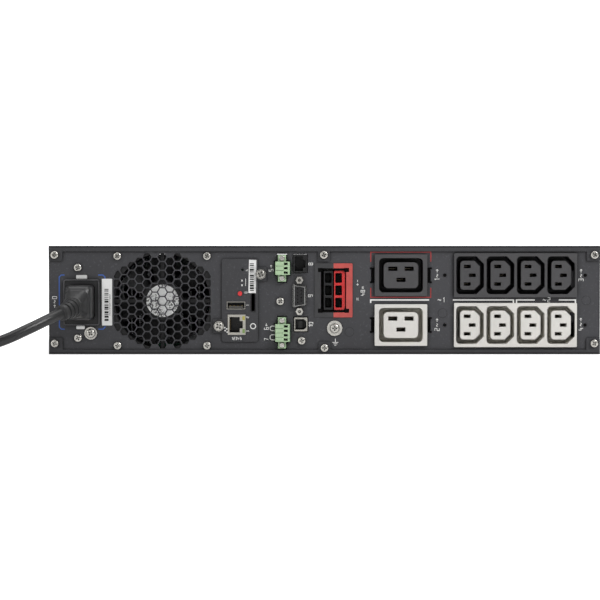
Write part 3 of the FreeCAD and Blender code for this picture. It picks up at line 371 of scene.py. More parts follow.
# contact metal kept very dark as painted shade of the deep openings it sits in
contact_metal = plated("contact_metal", (0.15, 0.13, 0.10), 0.38)
copper = plated("copper_winding", (0.72, 0.36, 0.16), 0.35, brushed=500)
aluminium = plated("aluminium", (0.66, 0.67, 0.69), 0.4, brushed=200)
gold = plated("gold", (0.85, 0.62, 0.24), 0.2)
sleeve = moulded("capacitor_sleeve", (0.015, 0.02, 0.06), 0.28, sheen=0.4)
board_green = board_material("board_green", (0.012, 0.09, 0.045))
loom_plastic = moulded("loom_plastic", (0.05, 0.012, 0.012), 0.4)
white_ink = printed("white_ink", rgb(0.82, 0.82, 0.80))
blue_ink = printed("blue_ink", rgb(0.045, 0.12, 0.42))
red_ink = printed("red_ink", rgb(0.36, 0.035, 0.035))
black_ink = printed("black_ink", rgb(0.012, 0.012, 0.012))
label_film = printed("label_film", rgb(0.80, 0.80, 0.79), 0.35)
window_glass = glass_material()
lens_off = moulded("lens_plastic", (0.005, 0.005, 0.005), 0.25, wear_and_highlight=0.0, shine=0.1)

FILM_SPLIT = 7.2 * MM   # where the battery connector's film turns from grey to red
by_slot = {
    "case_paint": case_paint, "bezel_plastic": bezel_plastic, "black_plastic": black_plastic,
    "outlet_black": outlet_black, "outlet_grey": outlet_grey, "nickel": nickel,
    "bright_steel": zinc_steel, "contact_metal": contact_metal, "terminal_green": terminal_green,
    "connector_red": connector_red, "port_label": port_label_material(FILM_SPLIT),
    "circuit_board": board_green, "heatsink_metal": aluminium, "capacitor_sleeve": sleeve,
    "copper_winding": copper, "cord_rubber": cord_rubber, "loom_plastic": loom_plastic,
    "battery_case": battery_case, "red_button": red_button, "key_plastic": key_plastic,
    "window_glass": window_glass, "lens_plastic": lens_off,
}
by_node = {
    "top_cover": cover_paint, "chassis_tray": tray_paint, "card_faceplate": card_paint,
    "fan_rotor": fan_plastic, "fan_frame": fan_plastic, "serial_port_shell": port_steel,
    "inlet_clips": clip_steel,
}
for port in ("usb_device_port", "card_usb_port", "card_lan_jack"):
    by_node[port] = lined_port(port + "_finish", rgb(0.66, 0.64, 0.58), rgb(0.01, 0.01, 0.01),
                               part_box(port)[0].y)
slot_of = {s["node"]: s["material_slot"] for s in frame["record"]["subparts"]}


def shade(obj, angle=32):
    """Smooth shading that keeps edges sharper than the angle."""
    for poly in obj.data.polygons:
        poly.use_smooth = True
    obj.data.set_sharp_from_angle(angle=math.radians(angle))


def finish_cad_nodes():
    """Give every CAD node its material."""
    for name, obj in frame["nodes"].items():
        mat = by_node.get(name) or by_slot[slot_of[name]]
        if not obj.material_slots:
            obj.data.materials.append(mat)
        for spot in obj.material_slots:
            spot.material = mat


# ---- mesh helpers -------------------------------------------------------------------------


Outline = namedtuple("Outline", "left right low top x z")


def outline_of(node):
    """Edges and centre of a CAD node seen square to the panel, in millimetres."""
    low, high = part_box(node)
    left, right, foot, top = (size / MM for size in (low.x, high.x, low.z, high.z))
    return Outline(left, right, foot, top, (left + right) / 2, (foot + top) / 2)


def place(name, bm, mat, body, smooth=None):
    """Turn a bmesh into a piece that rides on a body."""
    mesh = bpy.data.meshes.new(name)
    bmesh.ops.recalc_face_normals(bm, faces=bm.faces)
    bm.to_mesh(mesh)
    bm.free()
    obj = bpy.data.objects.new(name, mesh)
    bpy.context.collection.objects.link(obj)
    mesh.materials.append(mat)
    if smooth:
        shade(obj, smooth)
    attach(obj, body)
    return obj


def rounded_rect(x0, z0, x1, z1, r=0.0, steps=5):
    """Corner points of a rounded rectangle, anticlockwise, in millimetres."""
    if r <= 0:
        return [(x0, z0), (x1, z0), (x1, z1), (x0, z1)]
    points = []
    for cx, cz, start in ((x1 - r, z0 + r, -90), (x1 - r, z1 - r, 0), (x0 + r, z1 - r, 90),
                          (x0 + r, z0 + r, 180)):
        for k in range(steps + 1):
            angle = math.radians(start + 90 * k / steps)
            points.append((cx + r * math.cos(angle), cz + r * math.sin(angle)))
    return points


def circle(cx, cz, r, steps=24):
    """Points of a circle, in millimetres."""
    return [(cx + r * math.cos(2 * math.pi * k / steps), cz + r * math.sin(2 * math.pi * k / steps))
            for k in range(steps)]


def prism(bm, points, out0, out1, face=PANEL, sign=-1):
    """Closed prism over XZ points (mm) between two distances out of the face."""
    rings = []
    for out in (out0, out1):
        rings.append([bm.verts.new((x * MM, face + sign * out * MM, z * MM)) for x, z in points])
    count = len(points)
    bm.faces.new(rings[0])
    bm.faces.new(rings[1][::-1])
    for k in range(count):
        j = (k + 1) % count
        bm.faces.new((rings[0][k], rings[0][j], rings[1][j], rings[1][k]))


def ring(bm, outer, inner, out0, out1, face=PANEL, sign=-1):
    """Closed frame between two outlines with the same number of points."""
    layers = []
    for out in (out0, out1):
        for points in (outer, inner):
            layers.append([bm.verts.new((x * MM, face + sign * out * MM, z * MM)) for x, z in points])
    o0, i0, o1, i1 = layers
    count = len(outer)
    for k in range(count):
        j = (k + 1) % count
        bm.faces.new((o0[k], o0[j], o1[j], o1[k]))
        bm.faces.new((i0[j], i0[k], i1[k], i1[j]))
        bm.faces.new((o0[j], o0[k], i0[k], i0[j]))
        bm.faces.new((o1[k], o1[j], i1[j], i1[k]))


def loft(bm, rings):
    """Skin equal-count rings of points and cap both ends."""
    layers = [[bm.verts.new(p) for p in points] for points in rings]
    count = len(layers[0])
    for a, b in zip(layers, layers[1:]):
        for k in range(count):
            j = (k + 1) % count
            bm.faces.new((a[k], a[j], b[j], b[k]))
    bm.faces.new(layers[0][::-1])
    bm.faces.new(layers[-1])


def stroke_points(points, width):
    """Outline of a line of constant width through the points, mitred."""
    left, right = [], []
    half = width / 2
    for k, (x, z) in enumerate(points):
        first = max(k, 1)
        before = Vector(points[first]) - Vector(points[first - 1])
        after = Vector(points[k + 1]) - Vector(points[k]) if k + 1 < len(points) else before
        a, b = before.normalized(), after.normalized()
        normal = Vector((-(a + b).y, (a + b).x)).normalized()
        reach = half / max(0.3, normal.dot(Vector((-a.y, a.x))))
        left.append((x + normal.x * reach, z + normal.y * reach))
        right.append((x - normal.x * reach, z - normal.y * reach))
    return left + right[::-1]


class Ink:
    """Print or film on a flat face: shapes collected into one mesh."""

    def __init__(self, face=PANEL, out=0.02, thick=0.05, sign=-1):
        self.bm = bmesh.new()
        self.face, self.out, self.thick, self.sign = face, out, thick, sign

    def area(self, points):
        prism(self.bm, points, self.out, self.out + self.thick, self.face, self.sign)

    def line(self, points, width):
        self.area(stroke_points(points, width))

    def bar(self, x0, z0, x1, z1):
        self.area([(x0, z0), (x1, z0), (x1, z1), (x0, z1)])

    def dot(self, x, z, r):
        self.area(circle(x, z, r, 16))

    def put(self, name, mat, body="chassis"):
        return place(name, self.bm, mat, body)


SEGMENTS = {
    "0": [[(0, 0), (1, 0), (1, 2), (0, 2), (0, 0.001)]], "1": [[(0.2, 1.6), (0.6, 2), (0.6, 0)]],
    "2": [[(0, 2), (1, 2), (1, 1.05), (0, 0.95), (0, 0), (1, 0)]],
    "3": [[(0, 2), (1, 2), (1, 0), (0, 0)], [(0.2, 1), (0.95, 1)]],
    "4": [[(0, 2), (0, 0.9), (1, 0.9)], [(0.75, 1.4), (0.75, 0)]],
    "5": [[(1, 2), (0, 2), (0, 1.1), (1, 1), (1, 0), (0, 0)]],
    "6": [[(0.9, 2), (0, 2), (0, 0), (1, 0), (1, 1), (0.1, 1)]],
    "7": [[(0, 2), (1, 2), (0.4, 0)]],
    "8": [[(0, 0), (1, 0), (1, 2), (0, 2), (0, 0.001)], [(0.1, 1), (0.9, 1)]],
    "9": [[(0.1, 0), (1, 0), (1, 2), (0, 2), (0, 1), (0.9, 1)]],
    "~": [[(0, 0.8), (0.25, 1.25), (0.5, 1.25), (0.9, 0.75), (1.15, 0.75), (1.4, 1.2)]],
    "=": [[(0, 1.3), (1.3, 1.3)], [(0, 0.7), (0.33, 0.7)], [(0.5, 0.7), (0.83, 0.7)],
          [(1.0, 0.7), (1.3, 0.7)]],
    ">": [[(0, 1), (1.3, 1)], [(0.85, 1.5), (1.35, 1), (0.85, 0.5)]],
    "<": [[(0.05, 1), (1.35, 1)], [(0.5, 1.5), (0, 1), (0.5, 0.5)]],
    "+": [[(0, 1), (1.1, 1)], [(0.55, 1.55), (0.55, 0.45)]], "-": [[(0, 1), (1.0, 1)]],
}


def marks(ink, signs, x, z, size, upright=False, width=0.42):
    """Numbers and signs centred on a point; upright ones read from below."""
    spans = [max(p[0] for line in SEGMENTS[s] for p in line) for s in signs]
    gap = 0.75
    total = sum(spans) + gap * (len(signs) - 1)
    at = -total / 2
    unit = size / 2
    for sign, span in zip(signs, spans):
        for line in SEGMENTS[sign]:
            points = [((at + px) * unit, (pz - 1) * unit) for px, pz in line]
            if upright:
                points = [(-pz, px) for px, pz in points]
            ink.line([(x + px, z + pz) for px, pz in points], width)
        at += span + gap


# ---- printing on the socket panel ---------------------------------------------------------


BRACKET = 1.1      # width of the lines that group the outlets
FRAME_LINE = 0.8   # width of the coloured frames
EARTH_SIGN = (8.7, 9.4)
# sign, node it stands beside, distance from the node's side (left if negative), height above
# the node's middle, size
UPRIGHT_SIGNS = [
    ("1~>", "large_outlet_black", 8.0, 0.3, 3.6), ("2~>", "large_outlet_grey", 8.0, 0.2, 3.6),
    ("3~>", "outlet_bank_black", 3.45, 0.0, 3.6), ("4~>", "outlet_bank_grey", 3.45, 0.7, 3.6),
    (">~0", "inlet_socket", -7.25, 0.1, 3.4), ("5>", "relay_plug", -3.2, -0.05, 3.2),
    ("6<", "remote_plug", -7.0, 5.05, 3.2), ("7", "remote_plug", -7.0, -5.35, 3.2),
    ("8", "battery_signal_jack", 2.8, -0.25, 3.2), ("9", "serial_port_shell", 2.8, 0.0, 3.2),
    ("10", "usb_device_port", 2.9, -0.2, 3.0), ("+-", "battery_port_bezel", 4.05, 6.05, 3.2),
    ("=", "battery_port_bezel", 4.05, -6.95, 3.2), ("48=", "battery_port_bezel", 8.25, -0.45, 3.0),
]


def white_print():
    """Outlet group brackets, signs beside the ports and the earth sign."""
    ink = Ink()
    large, bank = outline_of("large_outlet_grey"), outline_of("outlet_bank_grey")
    level = bank.top + 2.4
    foot = bank.top
    left = large.left - 3.1
    right = bank.right - 0.95
    ink.line([(left, foot), (left, level), (large.right + 1.6, level)], BRACKET)
    ink.line([(bank.left - 0.85, level), (bank.x - 1.5, level), (bank.x - 1.5, foot)], BRACKET)
    ink.line([(bank.x + 1.0, foot), (bank.x + 1.0, level), (bank.x + 15.5, level)], BRACKET)
    ink.line([(right - 13.3, level), (right, level), (right, foot)], BRACKET)
    marks(ink, "~1", large.right + 11.1, level, 3.6)
    marks(ink, "~2", bank.x + 24.9, level, 3.6)
    for sign, name, across, up, size in UPRIGHT_SIGNS:
        part = outline_of(name)
        side = part.left if across < 0 else part.right
        marks(ink, sign, side + across, part.z + up, size, True)
    plug = outline_of("remote_plug")
    near, bend, far = plug.left - 0.2, plug.left - 2.8, plug.left - 4.0
    for low, top in ((1.55, 5.25), (-5.75, -1.65)):
        z0, z1 = plug.z + low, plug.z + top
        ink.line([(near, z0), (bend, z0), (far, z0 + 0.9), (far, z1 - 0.9), (bend, z1), (near, z1)], 0.55)
    x, z = EARTH_SIGN
    ink.line([(x, z + 2.9), (x, z)], 0.5)
    for k, reach in enumerate((2.3, 1.5, 0.7)):
        ink.bar(x - reach, z - 0.25 - 1.15 * k, x + reach, z + 0.2 - 1.15 * k)
    ink.put("panel_print_white", white_ink)


def blue_print():
    """Frame around the inlet, open above and below."""
    ink = Ink()
    inlet = outline_of("inlet_socket")
    left, right, low, top = inlet.left - 3.55, inlet.right + 4.05, inlet.low - 3, inlet.top + 3.4
    r = 1.6
    ink.line([(left + 4.2, low), (left + r, low), (left, low + r), (left, top - r), (left + r, top),
              (left + 4.2, top)], FRAME_LINE)
    ink.line([(right - 5.4, top), (right - r, top), (right, top - r), (right, top - 3.4)], FRAME_LINE)
    ink.line([(right - 5.4, low), (right - r, low), (right, low + r), (right, low + 2.2)], FRAME_LINE)
    ink.put("panel_print_blue", blue_ink)


def red_print():
    """Frame around the upper large outlet, open at the sides."""
    ink = Ink()
    outlet = outline_of("large_outlet_black")
    left, right, low, top = outlet.left - 3.1, outlet.right + 2.9, outlet.low - 1, outlet.top + 1.8
    for level, end in ((top, top - 7.6), (low, low + 7.6)):
        ink.line([(left, end), (left, level), (right, level), (right, end)], FRAME_LINE)
    ink.put("panel_print_red", red_ink)


def stripes(ink, x0, x1, z0, z1, rng):
    """Random-width bars across a label."""
    z = z0
    while z < z1:
        thick = rng.choice((0.45, 0.7, 1.0, 1.7))
        ink.bar(x0, z, x1, min(z1, z + thick))
        z += thick + rng.choice((0.45, 0.6, 0.9))


def dashes(ink, x, z0, z1, size, rng):
    """A column of short strokes that stands for small print."""
    z = z0
    while z < z1:
        long = rng.uniform(0.5, 1.1) * size
        ink.bar(x - size / 2, z, x + size / 2 * rng.uniform(0.2, 1.0), z + 0.32)
        z += 0.32 + long * 0.6


def inlet_sticker(rng):
    """Label beside the inlet with random bars."""
    inlet = outline_of("inlet_socket")
    left, low = inlet.right + 1.55, inlet.low - 0.1
    film = Ink(out=0.02, thick=0.12)
    film.area(rounded_rect(left, low, left + 8.2, low + 37.3, 0.5))
    film.put("inlet_sticker", label_film)
    bars = Ink(out=0.13, thick=0.03)
    stripes(bars, left + 2.1, left + 5.3, low + 3.6, low + 29.6, rng)
    dashes(bars, left + 6.5, low + 8.1, low + 25.1, 1.2, rng)
    bars.put("inlet_sticker_bars", black_ink)


CARD_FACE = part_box("card_faceplate")[0].y
CARD_STICKER = [(-60.7, 48.9), (-54.8, 48.6), (-54.3, 75.1), (-60.2, 75.4)]   # stuck on askew


def card_sticker(rng):
    """Askew label on the network card."""
    film = Ink(CARD_FACE, 0.0, 0.12)
    film.area(CARD_STICKER)
    film.put("card_sticker", label_film, "network_card")
    bars = Ink(CARD_FACE, 0.12, 0.03)
    stripes(bars, -59.6, -56.3, 50.5, 72.5, rng)
    dashes(bars, -55.4, 51, 71, 0.7, rng)
    bars.put("card_sticker_bars", black_ink, "network_card")


def stickers():
    """Both labels, drawn with one seed."""
    rng = random.Random(11)
    inlet_sticker(rng)
    card_sticker(rng)


# ---- network card -------------------------------------------------------------------------


CARD_NUMBERS = [("0", -62.6, 49.2), ("1", -61.4, 38.9), ("2", -61.4, 29.5), ("3", -61.4, 18.3),
                ("4", -61.8, 67)]
RING_MARK = (-57, 22.4)
# white dots painted as highlights near the left screw
CARD_GLINTS = [(-79.6, 21.2), (-78.0, 20.2), (-79.3, 18.9), (-77.6, 17.7)]


def card_print():
    """Numbers, arrows and the plain ring mark printed on the card's faceplate, and white dots painted as
    highlights beside the screw.
    """
    white = Ink(CARD_FACE)
    for number, x, z in CARD_NUMBERS:
        marks(white, number, x, z, 1.9, True, 0.3)
    lan = outline_of("card_lan_jack")
    marks(white, "12345", lan.x - 0.1, lan.low - 2.9, 2.0, False, 0.34)
    white.area([(-66.6, 58.2), (-65.0, 58.2), (-65.8, 59.8)])
    white.area([(-66.6, 55.6), (-65.0, 55.6), (-65.8, 54.0)])
    white.line([(-62.9, 54.5), (-62.9, 60.5)], 0.3)
    white.area(circle(*RING_MARK, 2.4, 28))
    white.put("card_print", white_ink, "network_card")
    inner = Ink(CARD_FACE, 0.07, 0.04)
    inner.area(circle(*RING_MARK, 1.7, 28))
    inner.put("card_mark_inner", card_paint, "network_card")
    glints = Ink(CARD_FACE, 0.02, 0.2)
    for x, z in CARD_GLINTS:
        glints.dot(x, z, 0.62)
    glints.put("card_glints", white_ink, "network_card")


def card_piece(name, bm, mat):
    """A piece that rides on the network card."""
    place(name, bm, mat, "network_card")


def card_ports():
    """Contact wires, status lamps and the slot's rim on the card."""
    lan = outline_of("card_lan_jack")
    wires = bmesh.new()
    for k in range(8):
        z = 19.6 + k * 1.12
        prism(wires, rounded_rect(-75.7, z - 0.22, -75.3, z + 0.22), -9.5, -0.6)
    card_piece("lan_contacts", wires, gold)
    lamps = (("lan_lamp_upper", lan.low + 11.7, glow_material("lamp_amber", rgb(0.40, 0.36, 0.08), 0.1)),
             ("lan_lamp_lower", lan.low + 1.3, glow_material("lamp_green", rgb(0.20, 0.30, 0.10), 0.05)))
    for name, low, mat in lamps:
        bm = bmesh.new()
        prism(bm, rounded_rect(lan.right - 2.5, low, lan.right - 0.5, low + 3.2, 0.2, 2), 1.55, 1.75)
        card_piece(name, bm, mat)
    usb = outline_of("card_usb_port")
    wires = bmesh.new()
    for k in range(4):
        x = usb.left + 2.7 + k * 3.1
        prism(wires, rounded_rect(x - 0.55, usb.low + 2.6, x + 0.55, usb.low + 2.9), -11.5, 0.2)
    card_piece("usb_contacts", wires, gold)
    rim = bmesh.new()
    outer = rounded_rect(-58.9, 33.9, -55.0, 48.9, 0.8)
    ring(rim, outer, rounded_rect(-58.3, 34.5, -55.6, 48.3, 0.4), -3.0, 1.5)
    card_piece("card_slot_rim", rim, black_plastic)


# ---- battery connector, outlets and fan ---------------------------------------------------


def battery_port_notch_shade():
    """Black bars painted as the shade in the corner notches of the battery connector's opening."""
    opening = outline_of("battery_port_bezel")
    x, z = opening.x, opening.z
    notches = Ink(PANEL - 0.5 * MM)
    for right in (-1, 1):
        for up in (-1, 1):
            a, b = x + right * 8.6, x + right * 12.4
            c, d = z + up * 14.6, z + up * 17.9
            notches.bar(min(a, b), min(c, d), max(a, b), max(c, d))
    for up in (-1, 1):
        c, d = z + up * 16.2, z + up * 17.6
        notches.bar(x - 9, min(c, d), x + 9, max(c, d))
    notches.put("battery_port_notch_shade", shade_black)


def battery_port_throat_shade():
    """Stepped near-black throats of the six contact openings, placed as painted shade inside them."""
    bm = bmesh.new()
    for block, shift in (("battery_port_black", 0.0), ("battery_port_red", -0.8)):
        housing = outline_of(block)
        x, z = housing.x + shift, housing.z
        for k in (-1, 0, 1):
            c = z + 9.9 * k
            throat = [(x - 2.5, c - 2.9), (x + 0.7, c - 2.9), (x + 0.7, c - 1.4), (x + 1.9, c - 1.4),
                      (x + 1.9, c + 1.6), (x + 0.7, c + 1.6), (x + 0.7, c + 2.9), (x - 2.5, c + 2.9)]
            prism(bm, throat, -11.5, -2.2)
    place("battery_port_throat_shade", bm, shade_black, "chassis")


DISCS = [(19.9, 17.8), (94.2, 32.7), (208.9, 42.9)]


def pressed_ring_shadows():
    """Thin near-black lines painted on the sheet as the shadow of the shallow pressed rings around the
    raised discs.
    """
    rings = Ink(out=0.0, thick=0.06)
    for x, z in DISCS:
        points = circle(x, z, 3.55, 40)
        rings.line(points + [points[0]], 0.32)
    rings.put("panel_ring_shadows", ring_shadow)


def outlet_clips():
    """Black spring clips in the slots beside the large outlets, kept near-black as painted shade of the
    slots around them.
    """
    for label in ("large_outlet_black", "large_outlet_grey"):
        outlet = outline_of(label)
        x, z = outlet.x, outlet.z
        bm = bmesh.new()
        for side in (-1, 1):
            a, b, c = x + side * 21.1, x + side * 23.0, x + side * 24.7
            prism(bm, [(a, z - 6), (b, z - 6), (b, z + 6), (a, z + 6)], -1.4, 0.3)
            for up in (-1, 1):
                ends = [z + up * 4.9, z + up * 6.2]
                prism(bm, [(b, ends[0]), (c, ends[0]), (c, ends[1]), (b, ends[1])], 0.02, 0.3)
        place(label + "_clips", bm, shade_black, "chassis")


HUB_FACE = -2.98      # the fan's fixed hub, distance out of the panel
HUB_LABEL = 13        # radii
HUB_RIM = (15.6, 13.4)


def fan_details():
    """Silver label and raised rim on the fan's fixed hub."""
    fan = outline_of("fan_frame")
    bm = bmesh.new()
    prism(bm, circle(fan.x, fan.z, HUB_LABEL, 64), HUB_FACE, HUB_FACE + 0.13)
    place("fan_hub_label", bm, hub_label_material(), "chassis")
    bm = bmesh.new()
    outer, inner = (circle(fan.x, fan.z, r, 64) for r in HUB_RIM)
    ring(bm, outer, inner, HUB_FACE, HUB_FACE + 0.78)
    place("fan_hub_rim", bm, fan_plastic, "chassis", 40)


# ---- plug and cord ------------------------------------------------------------------------


def frames_along(path, steps):
    """Points and two cross directions along a smooth path through the given points."""
    points = []
    count = len(path)
    for k in range(count - 1):
        p0, p1 = path[max(0, k - 1)], path[k]
        p2, p3 = path[k + 1], path[min(count - 1, k + 2)]
        for step in range(steps):
            t = step / steps
            points.append(0.5 * ((2 * p1) + (p2 - p0) * t + (2 * p0 - 5 * p1 + 4 * p2 - p3) * t * t
                                 + (3 * p1 - p0 - 3 * p2 + p3) * t ** 3))
    points.append(path[-1])
    frames = []
    side = Vector((1, 0, 0))
    for k, p in enumerate(points):
        ahead = points[min(k + 1, len(points) - 1)] - points[max(k - 1, 0)]
        ahead.normalize()
        side = (side - ahead * side.dot(ahead)).normalized()
        frames.append((p, side, ahead.cross(side).normalized()))
    return frames


CORD_PATH = [(-3.0, -2, -3.2), (-6, -10, -5.2), (-10.5, -19, -7.6), (-18, -29, -11.4),
             (-31, -39, -18.0), (-50, -48, -26.6), (-75, -54, -33.6), (-103, -55, -36.6),
             (-129.5, -53.5, -36.9)]
CORD_RADIUS = 4.15
BOOT_LENGTH = 18.4
PLUG_FOOT = Vector((outline_of("inlet_socket").x * MM, PANEL, outline_of("inlet_socket").z * MM))
# plug outline along its length: distance out, half width, half height, corner, shift right, shift up
PLUG_SECTIONS = [(-19.4, 9.9, 13.4, 2.6, 0, 0), (3.0, 9.9, 13.4, 2.6, 0, 0),
                 (4.6, 9.9, 13.3, 2.6, 0, 0), (5.2, 10.6, 13.8, 2.8, -0.4, 0),
                 (16, 10.4, 13.6, 3.2, -0.6, 0), (21, 10.0, 13.0, 3.6, -0.8, 0),
                 (22.6, 9.4, 12.2, 4.2, -1.0, -0.2), (23.6, 8.7, 10.8, 4.8, -1.2, -0.6),
                 (29, 8.2, 9.6, 6.0, -1.8, -1.6), (33.5, 7.9, 8.6, 7.0, -2.6, -2.8),
                 (36, 7.7, 8.0, 7.4, -3.2, -3.4)]


def round_section(frame_at, radius, steps):
    """Circle of points across the path at one of its frames, radius in millimetres."""
    p, u, v = frame_at
    turns = (2 * math.pi * i / steps for i in range(steps))
    return [p + (u * math.cos(a) + v * math.sin(a)) * radius * MM for a in turns]


def plug_body():
    """Moulded plug that tapers and leans towards the cord."""
    bm = bmesh.new()
    rings = []
    for out, half_x, half_z, r, dx, dz in PLUG_SECTIONS:
        points = rounded_rect(-half_x, -half_z, half_x, half_z, min(r, half_x * 0.99, half_z * 0.99), 8)
        rings.append([(PLUG_FOOT.x + (x + dx) * MM, PANEL - out * MM, PLUG_FOOT.z + (z + dz) * MM)
                      for x, z in points])
    loft(bm, rings)
    plug = place("power_plug_body", bm, plug_rubber, "inlet_plug", 38)
    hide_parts("power_plug")
    bevel = plug.modifiers.new("soft", "BEVEL")
    bevel.width, bevel.segments, bevel.limit_method = 0.0005, 2, "ANGLE"


def cord_and_boot():
    """Cord swept along its bend, and the grooved boot around its start."""
    base = PLUG_FOOT - Vector((0, 33 * MM, 0))
    path = [base + Vector(step) * MM for step in CORD_PATH]
    bm = bmesh.new()
    loft(bm, [round_section(at, CORD_RADIUS, 28) for at in frames_along(path, 14)])
    cord = place("power_cord_jacket", bm, cord_rubber, "inlet_plug", 60)
    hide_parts("power_cord")

    bm = bmesh.new()
    rings = []
    run = 0.0
    last = path[0]
    for at in frames_along(path[:4], 40):
        run += (at[0] - last).length / MM
        last = at[0]
        taper = 7.8 - 0.1 * run
        groove = 1.5 if (run % 4.6) > 3.2 and run > 2.5 else 0.0
        if run > BOOT_LENGTH:
            break
        rings.append(round_section(at, taper - groove, 36))
    loft(bm, rings)
    boot = place("power_plug_boot", bm, plug_rubber, "inlet_plug", 30)
    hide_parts("plug_boot")


def inlet_details():
    """Raised rim around the inlet's moulding, grey and lighter than the moulding as a painted highlight
    along its edge.
    """
    inlet = outline_of("inlet_socket")
    rims = [rounded_rect(inlet.left + inset, inlet.low + inset, inlet.right - inset, inlet.top - inset, r)
            for inset, r in ((0.15, 1.8), (0.9, 1.2))]
    bm = bmesh.new()
    ring(bm, *rims, 2.18, 2.9)
    place("inlet_rim", bm, rim_highlight_grey, "chassis")


# ---- front --------------------------------------------------------------------------------


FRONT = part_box("front_bezel")[1].y     # outer face of the bezel


def display_symbols():
    """Bars, battery sign and a plain number on the display window."""
    glow = glow_material("display_glow", rgb(0.45, 0.75, 0.95), 1.6)
    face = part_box("display_window")[1].y
    window = outline_of("display_window")
    left, low = window.left, window.low
    lit = Ink(face, 0.01, 0.04, 1)
    for k in range(5):
        right = window.right - 4.4 * k
        lit.bar(right - 6, low + 3.0, right - 2.8, low + 5.2 + 1.6 * k)
    lit.line([(left + 4, low + 4), (left + 15, low + 4), (left + 15, low + 10), (left + 4, low + 10),
              (left + 4, low + 4.01)], 0.5)
    lit.bar(left + 2.6, low + 6, left + 3.7, low + 8)
    for k in range(3):
        lit.bar(left + 5.2 + 3.2 * k, low + 5.2, left + 7.6 + 3.2 * k, low + 8.8)
    flipped = Ink(face, 0.01, 0.04, 1)
    marks(flipped, "001", window.x, window.top - 7.2, 8.5, False, 0.9)
    for v in flipped.bm.verts:
        v.co.x = 2 * window.x * MM - v.co.x
    lit.put("display_symbols", glow, "display")
    flipped.put("display_number", glow, "display")


def display_controls():
    """Bright trim around the pod and the signs on its keys."""
    pod = outline_of("display_pod")
    bm = bmesh.new()
    ring(bm, circle(pod.x, pod.z, 34.6, 96), circle(pod.x, pod.z, 33.4, 96), -0.62, -0.3, FRONT, 1)
    place("display_trim", bm, nickel, "display", 40)
    for key in ("key_up", "key_down", "key_enter"):
        node = "display_" + key
        x, z = outline_of(node).x, outline_of(node).z
        ink = Ink(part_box(node)[1].y, 0.01, 0.04, 1)
        if key == "key_enter":
            loop = circle(x, z, 1.3, 20)
            ink.line(loop + [loop[0]], 0.4)
        else:
            flip = 1 if key == "key_up" else -1
            ink.area([(x - 1.5, z - 0.9 * flip), (x + 1.5, z - 0.9 * flip), (x, z + 1.3 * flip)])
        ink.put(node + "_mark", white_ink, key)


def power_button_details():
    """Power sign on the button and a bright ring around it."""
    button = outline_of("power_button")
    x, z = button.x, button.z
    ink = Ink(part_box("power_button")[1].y, 0.01, 0.05, 1)
    turns = [math.radians(35 + 290 * k / 24) for k in range(25)]
    ink.line([(x + 2.4 * math.sin(t), z + 2.4 * math.cos(t)) for t in turns], 0.6)
    ink.line([(x, z + 3.1), (x, z + 0.4)], 0.6)
    ink.put("power_button_mark", white_ink, "power_key")
    bm = bmesh.new()
    ring(bm, circle(x, z, 7.2, 48), circle(x, z, 5.6, 48), 0.0, 0.5, FRONT, 1)
    place("power_button_ring", bm, nickel, "chassis", 40)


# spacing of the modules, as in part.py
MODULE_PITCH = (94.4 * MM, 151.4 * MM)


def battery_details():
    """Lids and filler caps on the six battery modules."""
    low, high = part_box("battery_modules")
    top = high.z
    bm = bmesh.new()
    caps = bmesh.new()
    for i in range(3):
        for j in range(2):
            x = low.x + i * MODULE_PITCH[0]
            y = low.y + j * MODULE_PITCH[1]
            for cy in (y + 16 * MM, y + 135 * MM):
                for k in range(3):
                    cx = x + (24 + 23 * k) * MM
                    middle = Matrix.Translation((cx, cy, top + 0.6 * MM))
                    bmesh.ops.create_cone(caps, cap_ends=True, segments=24, radius1=6 * MM,
                                          radius2=5.4 * MM, depth=1.2 * MM, matrix=middle)
            lid = [(x + a * MM, y + b * MM) for a, b in rounded_rect(4, 4, 90, 147)]
            loft(bm, [[(a, b, top + rise) for a, b in lid] for rise in (0, 0.4 * MM)])
    place("battery_lids", bm, battery_case, "battery_drawer")
    place("battery_caps", caps, black_plastic, "battery_drawer", 40)


# ---- stage --------------------------------------------------------------------------------


AMBIENT = 0.2         # strength of the white surround as the object sees it
BACKDROP_LIFT = 0.62  # glow that keeps the seen backdrop pale
FLOOR_GAP = 0.0003    # the floor lies this far under the object
SOCKET_SIDE = (0, -0.3, 0.04)
# soft lights: name, place, target, size, power
SOFTBOXES = [("key_light", (1.3, -1.5, 1.4), SOCKET_SIDE, 0.9, 27),
             ("fill_light", (-1.5, -1.6, 0.8), SOCKET_SIDE, 1.4, 11),
             ("top_light", (0, -0.1, 2.2), (0, 0, 0), 2.0, 22),
             ("back_light", (0.6, 2.0, 1.4), (0, 0.3, 0.05), 1.4, 26)]
# camera: distance from the panel, width of the picture there, height of the eye, sensor in mm
DISTANCE = 1.4
WIDTH_SEEN = 0.4788
EYE_HEIGHT = 0.080
SENSOR = 36
AIM = Vector((-0.01955, PANEL, 0.04325))


def floor_material():
    """Backdrop that looks white to the camera and stays dim for the object."""
    n = Nodes("studio_floor")
    tone = n.noise(3, 2)
    seen = n.add("LightPath").outputs["Is Camera Ray"]
    away = n.add("VectorMath", operation="LENGTH")
    n.put(away.inputs[0], n.coords)
    lift = n.ramp(away.outputs["Value"], BACKDROP_LIFT, 1.0, 0.9, 2.2)
    pale = n.mix(n.ramp(tone, 0.0, 1.0), rgb(0.90, 0.90, 0.90), rgb(0.93, 0.93, 0.93))
    n.set(Base_Color=pale, Roughness=0.7, Emission_Color=rgb(1, 1, 1),
          Emission_Strength=n.maths("MULTIPLY", seen, lift))
    return n.mat


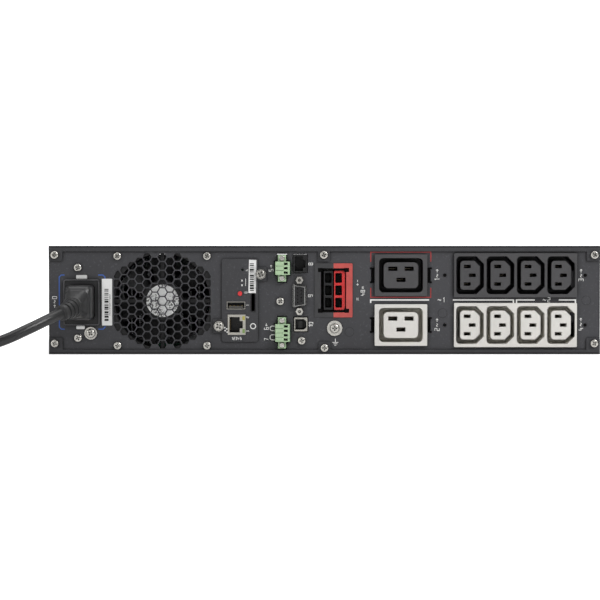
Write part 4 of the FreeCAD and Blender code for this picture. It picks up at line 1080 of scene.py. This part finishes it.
def backdrop_sheet():
    """Floor that curves up into a wall behind the object."""
    depth, rise, wide, radius = 3.2, 3.5, 7.0, 1.2
    bm = bmesh.new()
    bend = [math.pi / 2 * k / 12 for k in range(13)]
    curve = [(depth - radius + radius * math.sin(t), radius - radius * math.cos(t)) for t in bend]
    profile = [(-6.0, 0.0)] + curve + [(depth, rise)]
    rows = [[bm.verts.new((x, y, z - FLOOR_GAP)) for y, z in profile] for x in (-wide, wide)]
    for k in range(len(profile) - 1):
        bm.faces.new((rows[0][k], rows[1][k], rows[1][k + 1], rows[0][k + 1]))
    mesh = bpy.data.meshes.new("backdrop")
    bm.to_mesh(mesh)
    bm.free()
    backdrop = bpy.data.objects.new("backdrop", mesh)
    mesh.materials.append(floor_material())
    for poly in mesh.polygons:
        poly.use_smooth = True
    bpy.context.collection.objects.link(backdrop)


def look_at(obj, at, target):
    """Put a lamp or camera at a point and turn it to a target."""
    obj.location = at
    obj.rotation_euler = (Vector(target) - Vector(at)).to_track_quat("-Z", "Y").to_euler()


def softboxes():
    """Square area lights."""
    for name, at, target, size, power in SOFTBOXES:
        light = bpy.data.lights.new(name, "AREA")
        light.shape = "RECTANGLE"
        light.size = light.size_y = size
        light.energy = power
        lamp = bpy.data.objects.new(name, light)
        bpy.context.collection.objects.link(lamp)
        look_at(lamp, at, target)


def surround():
    """White world to the camera, dim to the object."""
    world = bpy.data.worlds.new("studio")
    bpy.context.scene.world = world
    world.use_nodes = True
    tree = world.node_tree
    seen = tree.nodes.new("ShaderNodeLightPath").outputs["Is Camera Ray"]
    level = tree.nodes.new("ShaderNodeMapRange")
    level.inputs["To Min"].default_value = AMBIENT
    level.inputs["To Max"].default_value = 1.0
    tree.links.new(seen, level.inputs["Value"])
    background = tree.nodes["Background"]
    background.inputs["Color"].default_value = rgb(1, 1, 1)
    tree.links.new(level.outputs["Result"], background.inputs["Strength"])
    bpy.context.scene.view_settings.view_transform = "Standard"


def photo_camera():
    """Camera square to the socket side, framed like the photograph."""
    camera = bpy.data.cameras.new("camera")
    eye = bpy.data.objects.new("camera", camera)
    bpy.context.collection.objects.link(eye)
    look_at(eye, (AIM.x, PANEL - DISTANCE, EYE_HEIGHT), AIM)
    camera.sensor_width = SENSOR
    camera.lens = SENSOR * DISTANCE / WIDTH_SEEN
    camera.clip_start = 0.01
    bpy.context.scene.camera = eye


finish_cad_nodes()
white_print()
blue_print()
red_print()
stickers()
card_print()
card_ports()
fan_details()
outlet_clips()
battery_port_notch_shade()
battery_port_throat_shade()
pressed_ring_shadows()
inlet_details()
plug_body()
cord_and_boot()
display_symbols()
display_controls()
power_button_details()
battery_details()
backdrop_sheet()
softboxes()
surround()
photo_camera()
